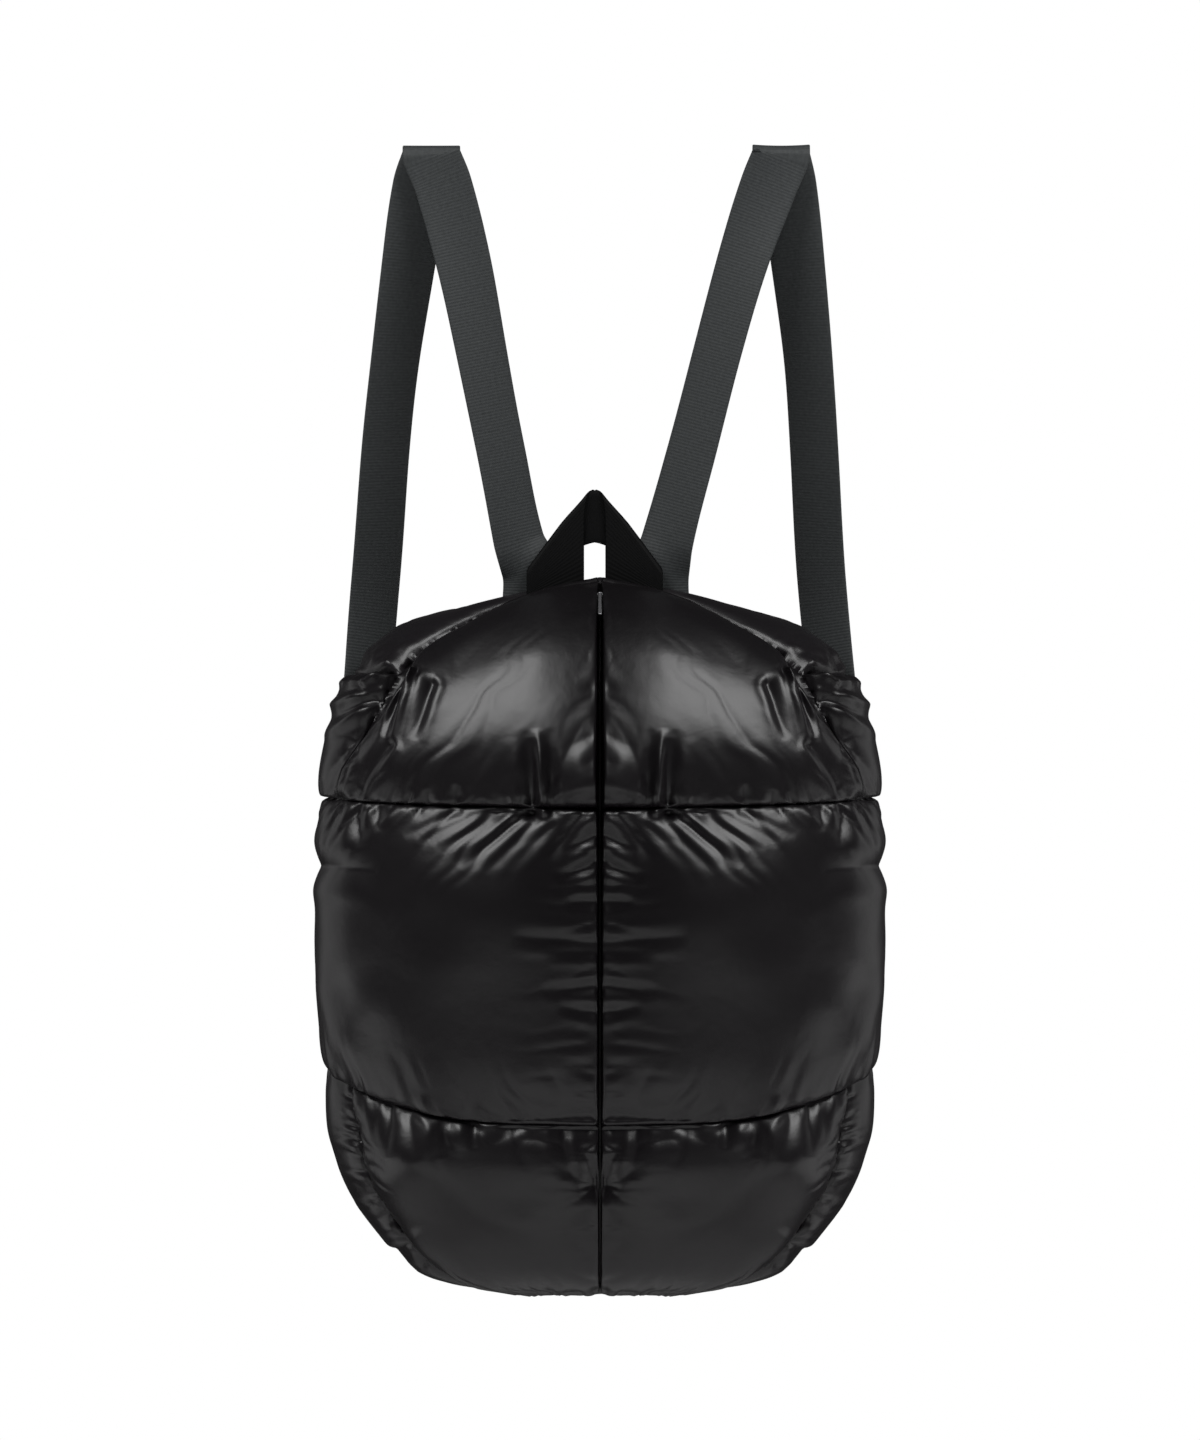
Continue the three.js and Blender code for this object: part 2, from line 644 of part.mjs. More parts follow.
function zipPuller() {
  const head = pullerEye + pullerRim;
  const tail = pullerWidth / 2;
  const eyePlace = -(bailOpening + bailWire) / 2;
  const tailPlace = eyePlace + head + tail - pullerLength;
  const drop = new THREE.Shape();
  drop.absarc(0, eyePlace, head, 0, Math.PI, false);
  drop.absarc(0, tailPlace, tail, Math.PI, 2 * Math.PI, false);
  const eye = new THREE.Path();
  eye.absarc(0, eyePlace, pullerEye, 0, 2 * Math.PI, true);
  drop.holes.push(eye);
  const plate = new THREE.ExtrudeGeometry(drop, {
    depth: pullerThickness, bevelEnabled: false, curveSegments: 7 });
  plate.translate(0, 0, sliderThickness + zipClearance);
  const mesh = new THREE.Mesh(onZip(plate), enamel);
  mesh.name = "zip_puller";
  return mesh;
}

// The highest place of a panel under a flat rectangle
function heightUnder(panel, middle, width, thickness) {
  const far = 2 * railHeight;
  const samples = 8;
  const down = new THREE.Vector3(0, 0, -1);
  let highest = -far;
  for (let index = 0; index <= samples; index += 1) {
    for (const edge of [-1, 0, 1]) {
      const across = middle.x + (index / samples - 0.5) * width;
      const start = new THREE.Vector3(across, middle.y + (edge * thickness) / 2, far);
      const [hit] = new THREE.Raycaster(start, down).intersectObject(panel);
      if (hit) highest = Math.max(highest, hit.point.z);
    }
  }
  return highest;
}

// The place on the top front edge that lies at a distance from the middle
function onFrontEdge(across) {
  const row = read(frontEdge, "across", across / halfWidth);
  return new THREE.Vector3(-across, row.back * halfDepth, row.height * bagHeight);
}

const strapRise = railHeight - bagHeight;
const railRadius = railDiameter / 2 + webbingThickness / 2;
const bagSurface = (turn, height) => onBag(turn * 2 * halfTurn, height);

function strapStations({ front, rail, behind }, seat) {
  const rows = [];
  const sewn = onFrontEdge(front[0].across * halfWidth);
  sewn.y += strapSetBack;
  const footprint = webbingThickness + webbingWidth * Math.sin(front[0].twist * degrees);
  sewn.z = heightUnder(seat, sewn, webbingWidth, footprint) + webbingClearance;
  rows.push({ point: sewn, twist: front[0].twist });
  for (const { rise, across, twist } of front) {
    const back = mix(sewn.y, bagForward - railRadius, rise);
    const point = new THREE.Vector3(-across * halfWidth, back, bagHeight + rise * strapRise);
    rows.push({ point, twist });
  }
  const steps = 6;
  for (let index = 0; index <= steps; index += 1) {
    const turn = Math.PI * (index / steps);
    rows.push({
      point: new THREE.Vector3(-rail * halfWidth,
        bagForward - railRadius * Math.cos(turn), railHeight + railRadius * Math.sin(turn)),
      twist: 0,
    });
  }
  for (const { rise, across, back, twist } of behind) {
    const depth = bagForward + railRadius + back * halfDepth;
    const point = new THREE.Vector3(-across * halfWidth, depth, bagHeight + rise * strapRise);
    rows.push({ point, twist });
  }
  for (const { height, stand } of strapRun) {
    const level = mix(seamAt(strapAngle).low, shoulderHeight, height);
    const out = outward(bagSurface, strapAngle / (2 * halfTurn), level);
    const point = onBag(strapAngle, level).addScaledVector(out, stand * backCrown);
    rows.push({ point, twist: Math.atan2(-out.x, out.y) / degrees });
  }
  return rows;
}

function shoulderStrap(side, table, seat, mirrored) {
  const rows = strapStations(table, seat);
  const route = new THREE.CatmullRomCurve3(rows.map((row) => row.point));
  const spans = rows.length - 1;
  const stations = [];
  for (let span = 0; span < spans; span += 1) {
    const reach = rows[span].point.distanceTo(rows[span + 1].point);
    const steps = Math.max(1, Math.round(reach / webbingStep));
    const last = span === spans - 1 ? steps : steps - 1;
    for (let step = 0; step <= last; step += 1) {
      const share = (span + step / steps) / spans;
      const along = span === 0 ? new THREE.Vector3(0, 0, 1) : route.getTangent(share);
      const twist = mix(rows[span].twist, rows[span + 1].twist, step / steps) * degrees;
      const sideways = new THREE.Vector3(Math.cos(twist), Math.sin(twist), 0);
      sideways.addScaledVector(along, -sideways.dot(along)).normalize();
      const through = new THREE.Vector3().crossVectors(along, sideways);
      const corners = sectionCorners(
        route.getPoint(share), sideways, through, webbingWidth, webbingThickness);
      stations.push(mirrored ? corners.map(mirrorPoint) : corners);
    }
  }
  return bandThrough(`shoulder_strap_${side}`, stations, band);
}

// Each leg of the handle stands up, and is folded backwards along a slanting line.
// A flat place is q across the leg and p up it; the fold line starts at the leg's outer edge.
function grabHandle(seat) {
  const half = webbingWidth / 2;
  const slant = handleFoldAngle * degrees;
  const [lean, climb] = [Math.cos(slant), Math.sin(slant)];
  const legMiddle = onFrontEdge(handleSpread / 2);
  legMiddle.y += handleSetBack;
  const foldStart = bagHeight + handleLegRise;
  const foot = heightUnder(seat, legMiddle, webbingWidth, webbingThickness) + webbingClearance;
  const bend = Math.PI * handleFoldRadius;
  const folded = (q, p, offset) => {
    const along = (q + half) * lean + (p - foldStart) * climb;
    const past = (p - foldStart) * lean - (q + half) * climb;
    const turn = THREE.MathUtils.clamp(past / handleFoldRadius, 0, Math.PI);
    const radius = handleFoldRadius + offset;
    const rest = past < 0 ? past : Math.min(0, bend - past);
    const reach = rest + radius * Math.sin(turn);
    return new THREE.Vector3(
      legMiddle.x - half + along * lean - reach * climb,
      legMiddle.y + handleFoldRadius - radius * Math.cos(turn),
      foldStart + along * climb + reach * lean);
  };
  const station = (outerEdge, innerEdge) => [
    folded(-half, outerEdge, webbingThickness / 2),
    folded(half, innerEdge, webbingThickness / 2),
    folded(half, innerEdge, -webbingThickness / 2),
    folded(-half, outerEdge, -webbingThickness / 2),
  ];
  const fullSlant = webbingWidth * Math.tan(slant);
  const left = [];
  const legSteps = 3;
  for (let index = 0; index < legSteps; index += 1) {
    const share = index / legSteps;
    const outerEdge = mix(foot, foldStart, share);
    left.push(station(outerEdge, outerEdge + fullSlant * share));
  }
  const bendSteps = 6;
  for (let index = 0; index <= bendSteps; index += 1) {
    const outerEdge = foldStart + (bend / lean) * (index / bendSteps);
    left.push(station(outerEdge, outerEdge + fullSlant));
  }
  // Where the band, past its fold, reaches the middle of the bag
  const toMiddle = (q) => foldStart
    + (half - legMiddle.x - (q + half) * Math.cos(2 * slant) + bend * climb) / Math.sin(2 * slant);
  const middle = station(toMiddle(-half), toMiddle(half));
  const right = left.map((corners) => corners.map(mirrorPoint)).reverse();
  return bandThrough("grab_handle", [...left, middle, ...right], band);
}

const top = topPanel();
const backpack = new THREE.Group();
backpack.position.set(0, -bagForward, -railHeight);
backpack.add(...frontPanels(), ...sidePanels(), ...backPanels(), top, basePanel());
backpack.add(zipChain(), zipSlider(), zipPuller(), grabHandle(top));
backpack.add(shoulderStrap("left", leftStrap, top, false));
backpack.add(shoulderStrap("right", rightStrap, top, true));

export default backpack;
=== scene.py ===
import json
import math

import bmesh
import bpy
import numpy as np
from bpy.props import FloatProperty, FloatVectorProperty, IntProperty, PointerProperty
from mathutils import Matrix, Vector

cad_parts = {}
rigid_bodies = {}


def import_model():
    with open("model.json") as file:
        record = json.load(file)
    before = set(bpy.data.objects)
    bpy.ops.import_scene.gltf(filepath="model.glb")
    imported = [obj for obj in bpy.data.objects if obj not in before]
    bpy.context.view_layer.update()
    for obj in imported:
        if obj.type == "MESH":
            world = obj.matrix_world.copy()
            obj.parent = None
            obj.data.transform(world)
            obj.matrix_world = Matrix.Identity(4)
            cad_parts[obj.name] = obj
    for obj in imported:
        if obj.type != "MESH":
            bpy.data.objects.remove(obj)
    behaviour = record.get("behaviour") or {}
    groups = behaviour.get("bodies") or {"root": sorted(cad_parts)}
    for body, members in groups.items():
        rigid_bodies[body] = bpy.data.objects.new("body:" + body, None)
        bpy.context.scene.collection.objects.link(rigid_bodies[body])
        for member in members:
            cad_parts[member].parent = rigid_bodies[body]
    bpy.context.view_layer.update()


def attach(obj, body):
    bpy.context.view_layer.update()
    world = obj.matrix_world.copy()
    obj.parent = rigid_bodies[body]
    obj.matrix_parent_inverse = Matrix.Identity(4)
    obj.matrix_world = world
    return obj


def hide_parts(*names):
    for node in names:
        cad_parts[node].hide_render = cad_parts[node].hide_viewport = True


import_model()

bl_info = {
    "name": "Quilted puffer backpack",
    "version": (1, 0, 0),
    "blender": (4, 5, 0),
    "location": "3D View > Sidebar > Backpack",
    "description": "Dresses a hanging puffer backpack: padded panels, webbing, handle and zip",
    "category": "Object",
}

MM = 0.001


def make_table(columns, *rows):
    """Rows of values as dictionaries, by the names of their columns."""
    return [dict(zip(columns.split(), row)) for row in rows]


# Sizes of the bag, in metres, as the frame's solids have them
BAG_WIDTH = 376 * MM
BAG_DEPTH = 200 * MM
BAG_HEIGHT = 474 * MM
RAIL_HEIGHT = 754 * MM
BAG_FORWARD = 10 * MM
ROUNDNESS = 2.4
HALF_WIDTH = BAG_WIDTH / 2
HALF_DEPTH = BAG_DEPTH / 2
HALF_TURN = 180
BAG_PLACE = np.array([0, -BAG_FORWARD, -RAIL_HEIGHT])

# Plan sections of the seam surface: shares of the height, half width and half depth
SECTIONS = make_table(
    "height width depth back",
    (0.017, 0.31, 0.3, 0),
    (0.032, 0.51, 0.5, 0),
    (0.065, 0.65, 0.66, 0),
    (0.13, 0.79, 0.77, 0),
    (0.21, 0.885, 0.83, 0),
    (0.32, 0.934, 0.855, 0),
    (0.44, 0.938, 0.865, 0),
    (0.57, 0.94, 0.86, 0),
    (0.698, 0.948, 0.82, 0),
    (0.78, 0.915, 0.76, 0.02),
    (0.833, 0.884, 0.7, 0.04),
    (0.868, 0.86, 0.62, 0.06),
)
BASE_HEIGHT = SECTIONS[0]["height"]
SHOULDER_HEIGHT = SECTIONS[-1]["height"]

# Heights of the two level seams, by the angle from the front in degrees
SEAMS = make_table(
    "angle low high",
    (0, 0.245, 0.681),
    (25, 0.251, 0.686),
    (45, 0.272, 0.69),
    (66, 0.3, 0.694),
    (90, 0.329, 0.698),
    (125, 0.316, 0.698),
    (180, 0.316, 0.698),
)

# Top edge of the front panels, top edge of the back panel, and the zip's line between them
FRONT_EDGE = make_table(
    "across height back",
    (0, 0.996, 0.04),
    (0.19, 0.977, 0.045),
    (0.33, 0.957, 0.03),
    (0.52, 0.921, -0.09),
    (0.63, 0.893, -0.22),
)
BACK_EDGE = make_table(
    "across height back",
    (0, 0.95, 0.6),
    (0.4, 0.946, 0.585),
    (0.56, 0.932, 0.55),
    (0.67, 0.903, 0.5),
)
ZIP_RISE = make_table(
    "across height back",
    (0, 0.79, -0.8),
    (0, 0.885, -0.6),
    (0, 0.947, -0.37),
    (0, 0.982, -0.16),
)

# Angles of the upright seams
BOTTOM_SIDE_SEAM = 66
MIDDLE_SIDE_SEAM = 105
TOP_SIDE_SEAM = 71
CORNER_ANGLE = 51.5
BACK_SEAM = 125


def read(table, key, at):
    """Reads each column of a table at values of its key column, on a smooth curve."""
    at = np.asarray(at, float)
    keys = np.array([row[key] for row in table], float)
    index = np.clip(np.searchsorted(keys, at, side="right") - 1, 0, len(keys) - 2)
    before = np.maximum(index - 1, 0)
    after = np.minimum(index + 2, len(keys) - 1)
    span = keys[index + 1] - keys[index]
    share = np.clip((at - keys[index]) / span, 0, 1)
    values = {}
    for column in table[0]:
        rows = np.array([row[column] for row in table], float)
        start, end = rows[index], rows[index + 1]
        start_slope = (end - rows[before]) / (keys[index + 1] - keys[before])
        end_slope = (rows[after] - start) / (keys[after] - keys[index])
        values[column] = (
            (2 * share**3 - 3 * share**2 + 1) * start
            + (share**3 - 2 * share**2 + share) * span * start_slope
            + (3 * share**2 - 2 * share**3) * end
            + (share**3 - share**2) * span * end_slope
        )
    return values


def mix(low, high, share):
    return low + (high - low) * share


def on_bag(angle, height):
    """Points of the seam surface at angles from the front, going round by the left side."""
    angle, height = np.broadcast_arrays(np.asarray(angle, float), np.asarray(height, float))
    section = read(SECTIONS, "height", height)
    power = 2 / ROUNDNESS
    sine, cosine = np.sin(np.radians(angle)), np.cos(np.radians(angle))
    across = np.sign(sine) * np.abs(sine) ** power * section["width"] * HALF_WIDTH
    back = np.sign(cosine) * np.abs(cosine) ** power * section["depth"] * HALF_DEPTH
    place = [-across, section["back"] * HALF_DEPTH - back, height * BAG_HEIGHT]
    return np.stack(place, -1) + BAG_PLACE


def whole_bag(s, t):
    return on_bag(s * 2 * HALF_TURN, t)


def seam_at(angle, which):
    angle = np.abs(np.asarray(angle, float))
    return read(SEAMS, "angle", np.minimum(angle, 2 * HALF_TURN - angle))[which]


def edge_point(row):
    place = [-row["across"] * HALF_WIDTH, row["back"] * HALF_DEPTH, row["height"] * BAG_HEIGHT]
    return np.array(place) + BAG_PLACE


def edge_points(table):
    return np.array([edge_point(row) for row in table])


def curve_through(points):
    """A smooth curve through points, read at shares from 0 to 1 of its length."""
    points = np.asarray(points, float)
    steps = np.linalg.norm(np.diff(points, axis=0), axis=1)
    marks = np.concatenate([[0], np.cumsum(steps)]) / steps.sum()
    table = make_table("mark x y z", *np.column_stack([marks, points]))

    def curve(share):
        row = read(table, "mark", np.clip(share, 0, 1))
        return np.stack([row["x"], row["y"], row["z"]], -1)

    return curve


def high_seam(start, end):
    return lambda share: on_bag(mix(start, end, share), seam_at(mix(start, end, share), "high"))


def level_seam(start, end, height):
    return lambda share: on_bag(mix(start, end, share), height)


def gathered_seam(share):
    start = seam_at(TOP_SIDE_SEAM, "high")
    return on_bag(mix(TOP_SIDE_SEAM, CORNER_ANGLE, share), mix(start, SHOULDER_HEIGHT, share))


def back_corner_seam(share):
    start = seam_at(BACK_SEAM, "high")
    return on_bag(BACK_SEAM, mix(start, SHOULDER_HEIGHT, share))


def mirrored(curve):
    return lambda share: curve(share) * np.array([-1, 1, 1])


def whole_width(half):
    """A curve from the right end of a left half curve, through the middle, to its left end."""

    def curve(share):
        share = np.asarray(share, float)
        point = half(np.abs(2 * share - 1))
        side = np.where(share < 0.5, -1, 1)
        return point * np.stack([side, np.ones_like(side), np.ones_like(side)], -1)

    return curve


front_edge = curve_through(
    np.vstack([edge_points(FRONT_EDGE), on_bag(CORNER_ANGLE, SHOULDER_HEIGHT)[None]])
)
back_edge = curve_through(
    np.vstack([edge_points(BACK_EDGE), on_bag(BACK_SEAM, SHOULDER_HEIGHT)[None]])
)
zip_rise = curve_through(
    np.vstack([high_seam(0, 0)(0)[None], edge_points(ZIP_RISE), front_edge(0)[None]])
)


def between(lower, upper, first, second):
    """The surface between four curves that meet at their ends."""

    def surface(s, t):
        s, t = np.broadcast_arrays(np.asarray(s, float), np.asarray(t, float))
        a, b = s[..., None], t[..., None]
        corners = (
            (1 - a) * (1 - b) * lower(0.0)
            + a * (1 - b) * lower(1.0)
            + (1 - a) * b * upper(0.0)
            + a * b * upper(1.0)
        )
        return (1 - b) * lower(s) + b * upper(s) + (1 - a) * first(t) + a * second(t) - corners

    return surface


def between_seams(start, end, lowest, highest):
    """The part of the seam surface between two angles and two level seams."""

    def surface(s, t):
        angle = mix(start, end, np.asarray(s, float))
        return on_bag(angle, mix(lowest(angle), highest(angle), t))

    return surface


SURFACE_STEP = 0.004  # share of a surface over which its direction is taken


def outward(surface, s, t):
    left, right = np.maximum(s - SURFACE_STEP, 0), np.minimum(s + SURFACE_STEP, 1)
    lower, upper = np.maximum(t - SURFACE_STEP, 0), np.minimum(t + SURFACE_STEP, 1)
    sideways = surface(right, t) - surface(left, t)
    upwards = surface(s, upper) - surface(s, lower)
    normal = np.cross(upwards, sideways)
    return normal / np.linalg.norm(normal, axis=-1, keepdims=True)


def length_of(curve, samples=24):
    points = curve(np.linspace(0, 1, samples))
    return np.linalg.norm(np.diff(points, axis=0), axis=-1).sum(0)


# Folds of the front as it is seen from the front, in millimetres: from a place across from the zip
# and up from the bag's lowest point, to another. The left half is given and the right mirrors it.
# Wide is the fold's half width, deep its depth, and lean makes the side away from the zip gentler.
FRONT_FOLDS = make_table(
    "across up to_across to_up wide deep lean",
    (36, 320, 39, 372, 3.0, -5.0, 0),
    (44, 320, 43, 366, 3.6, 5.0, 0.3),
    (33, 324, 29, 361, 2.6, 1.6, 0),
    (121, 406, 133, 362, 2.0, -3.4, 0),
    (122, 407, 142, 376, 2.0, -3.0, 0),
    (127, 398, 136, 366, 2.6, 3.4, 0),
    (133, 362, 154, 338, 2.6, 2.6, 0.3),
    (106, 398, 118, 364, 2.8, 2.6, 0.4),
    (150, 402, 118, 431, 2.2, -3.0, 0),
    (140, 402, 126, 424, 2.4, 2.8, 0),
    (146, 397, 180, 385, 2.0, -2.6, 0),
    (146, 391, 174, 368, 2.0, -2.4, 0),
    (150, 404, 172, 404, 2.0, -2.2, 0),
    (94, 329, 92, 340, 2.8, 3.0, 0),
    (112, 327, 111, 337, 2.8, 3.0, 0),
    (146, 394, 179, 375, 3.0, 2.8, 0),
    (33, 324, 74, 281, 3.6, 2.4, 0.3),
    (46, 324, 88, 284, 3.8, 2.6, 0.3),
    (59, 324, 104, 296, 3.4, 2.2, 0.3),
    (73, 323, 116, 301, 3.2, 2.2, 0.3),
    (92, 322, 125, 305, 3.0, 1.8, 0.3),
    (20, 324, 60, 283, 3.4, 2.0, 0.3),
    (10, 322, 34, 290, 3.2, 2.0, 0.3),
    (169, 330, 164, 312, 3.4, 3.0, 0),
    (159, 328, 151, 298, 3.4, 3.0, 0),
    (146, 328, 141, 308, 3.0, 2.0, 0),
    (196, 288, 140, 282, 7.0, 5.0, 0),
    (3, 306, 24, 295, 3.4, 2.4, 0),
    (3, 289, 27, 275, 3.4, 2.2, 0),
    (3, 262, 22, 262, 3.0, 1.6, 0),
    (3, 236, 56, 240, 3.6, 2.0, 0),
    (3, 229, 36, 230, 2.8, 1.5, 0),
    (3, 207, 37, 203, 3.2, 1.8, 0),
    (3, 190, 27, 195, 2.8, 1.5, 0),
    (136, 133, 131, 98, 4.2, 2.6, 0),
    (125, 129, 114, 96, 4.6, 2.4, 0),
    (98, 121, 99, 97, 3.0, 2.2, 0),
    (83, 119, 80, 102, 2.6, 2.6, 0),
    (24, 115, 22, 82, 3.0, 1.6, 0.4),
    (129, 38, 119, 23, 6.0, 3.6, 0),
    (3, 81, 21, 90, 3.4, 1.2, 0),
    (3, 75, 24, 68, 3.4, 1.1, 0),
    (3, 88, 16, 106, 3.0, 1.0, 0),
)

# Hollows of the front, in millimetres, or swellings where deep is below 0. Tall is how much further
# one reaches upwards than sideways. Some have pleats that run out of them, with a reach and a depth.
FRONT_HOLLOWS = make_table(
    "across up reach deep tall pleats pleat_reach pleat",
    (143, 393, 8, 7, 1, 0, 1, 0),
    (154, 414, 6, 2, 1, 6, 18, 1.4),
    (-6, 333, 35, -17, 0.9, 0, 1, 0),
    (124, 405, 28, -6, 1, 0, 1, 0),
    (72, 257, 46, -7, 1, 0, 1, 0),
    (120, 94, 24, -9, 1, 0, 1, 0),
    (1, 78, 11, 6, 1, 9, 18, 0.6),
)

# Gathers along the edges of the panels, in millimetres: the spacing of their creases, how far they
# reach into the panel, their depth, and how far they slant sideways for each millimetre inwards
GATHERS = make_table(
    "panel edge pitch reach deep slant",
    ("front_top", "below", 9, 22, 1.3, 0.15),
    ("front_top", "below", 17, 62, 0.8, 0.5),
    ("front_top", "first", 15, 12, 0.6, 0.2),
    ("front_top", "above", 24, 20, 0.5, 0.8),
    ("front_top", "last", 17, 26, 1.1, -0.3),
    ("front_middle", "above", 10, 26, 1.5, -0.8),
    ("front_middle", "first", 9, 16, 0.8, 0.15),
    ("front_middle", "below", 10, 18, 1.3, -0.4),
    ("front_middle", "last", 10, 22, 1.3, 0.2),
    ("front_bottom", "above", 10, 20, 1.7, 0.1),
    ("front_bottom", "first", 13, 16, 0.7, -0.2),
    ("front_bottom", "below", 12, 18, 1.2, 0.2),
    ("front_bottom", "last", 9, 16, 1.5, 0.2),
    ("side_top", "first", 17, 26, 1.1, 0.4),
    ("side_top", "above", 14, 26, 1.3, 0.3),
    ("side_top", "below", 9, 18, 1.4, 0.1),
    ("side_top", "last", 10, 16, 1.4, 0),
    ("side_bottom", "first", 9, 18, 1.5, 0.2),
    ("side_bottom", "above", 10, 18, 1.4, 0.1),
    ("side_bottom", "below", 12, 16, 1.2, 0),
    ("side_bottom", "last", 10, 16, 1.4, 0),
    ("top_panel", "below", 24, 16, 0.5, 0.3),
    ("top_panel", "first", 18, 34, 1.3, 0.3),
    ("top_panel", "last", 18, 34, 1.3, 0.3),
    ("top_panel", "above", 12, 16, 1.2, 0),
    ("back", "above", 12, 20, 1.3, 0.2),
    ("back", "below", 12, 20, 1.3, -0.2),
    ("back", "first", 11, 18, 1.4, 0.1),
    ("back", "last", 11, 18, 1.4, 0.1),
)


def low_of(angle):
    return seam_at(angle, "low")


def high_of(angle):
    return seam_at(angle, "high")


def base_of(angle):
    return np.full_like(np.asarray(angle, float), BASE_HEIGHT)


def other_side(angle):
    return 2 * HALF_TURN - angle


BASE_TURN = 60  # degrees from the front where the long edges of the base meet its ends

SURFACES = {
    "front_top": between(high_seam(0, TOP_SIDE_SEAM), front_edge, zip_rise, gathered_seam),
    "front_middle": between_seams(0, MIDDLE_SIDE_SEAM, low_of, high_of),
    "front_bottom": between_seams(0, BOTTOM_SIDE_SEAM, base_of, low_of),
    "side_top": between(
        high_seam(TOP_SIDE_SEAM, BACK_SEAM),
        level_seam(CORNER_ANGLE, BACK_SEAM, SHOULDER_HEIGHT),
        gathered_seam,
        back_corner_seam,
    ),
    "side_bottom": between_seams(BOTTOM_SIDE_SEAM, BACK_SEAM, base_of, low_of),
    "back_top": between(
        high_seam(BACK_SEAM, other_side(BACK_SEAM)),
        lambda share: whole_width(back_edge)(1 - np.asarray(share, float)),
        back_corner_seam,
        mirrored(back_corner_seam),
    ),
    "back_middle": between_seams(MIDDLE_SIDE_SEAM, other_side(MIDDLE_SIDE_SEAM), low_of, high_of),
    "back_bottom": between_seams(BACK_SEAM, other_side(BACK_SEAM), base_of, low_of),
    "top_panel": between(
        whole_width(front_edge),
        whole_width(back_edge),
        mirrored(level_seam(CORNER_ANGLE, BACK_SEAM, SHOULDER_HEIGHT)),
        level_seam(CORNER_ANGLE, BACK_SEAM, SHOULDER_HEIGHT),
    ),
    "base_panel": between(
        level_seam(HALF_TURN + BASE_TURN, HALF_TURN - BASE_TURN, BASE_HEIGHT),
        level_seam(-BASE_TURN, BASE_TURN, BASE_HEIGHT),
        level_seam(-HALF_TURN + BASE_TURN, -BASE_TURN, BASE_HEIGHT),
        level_seam(HALF_TURN - BASE_TURN, BASE_TURN, BASE_HEIGHT),
    ),
}

# Each panel's crown; the width of one of its finished cells; how much longer its cloth is cut than
# its seams; how far its lower edge hangs over its seam; the share of its width from the zip to where
# it is fullest, or 0 away from the zip; how flat it is across; how much of its crown it keeps at the
# corner seam below the knot; its gathers; and whether it is a pair
PANELS = {row["name"]: row for row in make_table(
    "name crown cell spare droop peak flatness joined gathers pair",
    ("front_top", 16 * MM, 1.2 * MM, 0.12, 4 * MM, 0.2, 2.4, 0.6, "front_top", True),
    ("front_middle", 16 * MM, 1.5 * MM, 0.1, 4 * MM, 0.14, 5.5, 0, "front_middle", True),
    ("front_bottom", 15 * MM, 1.5 * MM, 0.1, 0, 0.15, 4, 0, "front_bottom", True),
    ("side_top", 12 * MM, 1.2 * MM, 0.15, 3 * MM, 0, 3, 0.8, "side_top", True),
    ("side_bottom", 12 * MM, 1.7 * MM, 0.1, 0, 0, 3, 0, "side_bottom", True),
    ("back_top", 10 * MM, 2.4 * MM, 0.08, 2 * MM, 0, 3, 0, "back", False),
    ("back_middle", 10 * MM, 2.4 * MM, 0.08, 2 * MM, 0, 3, 0, "back", False),
    ("back_bottom", 10 * MM, 2.4 * MM, 0.08, 0, 0, 3, 0, "back", False),
    ("top_panel", 12 * MM, 1.5 * MM, 0.1, 0, 0, 3, 0, "top_panel", False),
    ("base_panel", 6 * MM, 2.4 * MM, 0.05, 0, 0, 3, 0, "back", False),
)}
INNER_CROWN = 4 * MM
LOW_SWELL = 0.85  # below 1, a panel is fullest under its middle
JOINED_FLAT = 1.6  # the joined corner seam is level up to where this less the fade is 1
JOINED_FADE = 2.6
RIPPLE_HEIGHT = 0.5 * MM
RIPPLE_LENGTH = 13 * MM
CRUMPLE_WIDTH = 38 * MM
CRUMPLE_HEIGHT = 30 * MM
FOLDED = ("front", "side", "top")  # panels that show in front, with its folds
ZIP_HALF = 0.5 * MM  # distance from the zip's middle at which the front panels begin
ZIP_SEARCH = 0.05  # share of a front panel's width in which that distance lies
ZIP_LIP = 0.005  # share of a front panel's width over which it curls out of the zip's groove
LIP_RISE = 0.62  # share of its crown that it has there
CROWDED = 1.45  # how much finer a front panel's cells are beside the zip
SEAM_LIP = 1.6  # millimetres from a seam to where its gathers are full
ZIP_FADE = 0.4  # the same beside the zip
SHALLOW_TO = 92  # millimetres from the zip within which the level seams are shallow
SHALLOW_FADE = 34
SHALLOW_LIFT = 4.2
SHALLOW_REACH = 2.2
DROOP_FROM = 30  # millimetres from the zip to where the lower edges begin to hang over
DROOP_FADE = 70
DROOP_REACH = 7
LATTICE = 64
LEAST_CELLS = 8
FIRST_SEED = 7
SEEDS_A_PANEL = 40
SEEDS_A_GATHER = 5
HOLLOW_SEED = 90

# Gathers: shares of their pitch, reach or depth, but for the lengths of the wander, in millimetres
WANDER = 0.35
WANDER_ALONG = 17
WANDER_INWARDS = 13
CREST_STRETCH = 1.6
FINER_CREASES = 2.3
FINER_STRETCH = 0.7
FINER_REACH = 0.45
UNEVEN_PITCH = 2.1
LEAST_REACH = 0.75
UNEVEN_REACH = 0.6
GATHER_FALL = 1.5
CREST_HEIGHT = 2.4
FINER_HEIGHT = 0.5

# Folds: lengths in millimetres, and the shape of the swelling beside a fold
FOLD_EDGE = 1.0
FOLD_START = 6
FOLD_TAPER = 0.6
BESIDE_FOLD = 2.1
BULGE_WIDTH = 1.3
BULGE = 0.45
PLEAT_WANDER = 11
PLEAT_START = 9
PLEAT_TURN = 0.4
PLEAT_BUNCHING = 1.3
PLEAT_CREST = 1.8


def swell(share, flatness=3.0):
    return np.sqrt(np.maximum(0, 1 - np.abs(2 * share - 1) ** flatness))


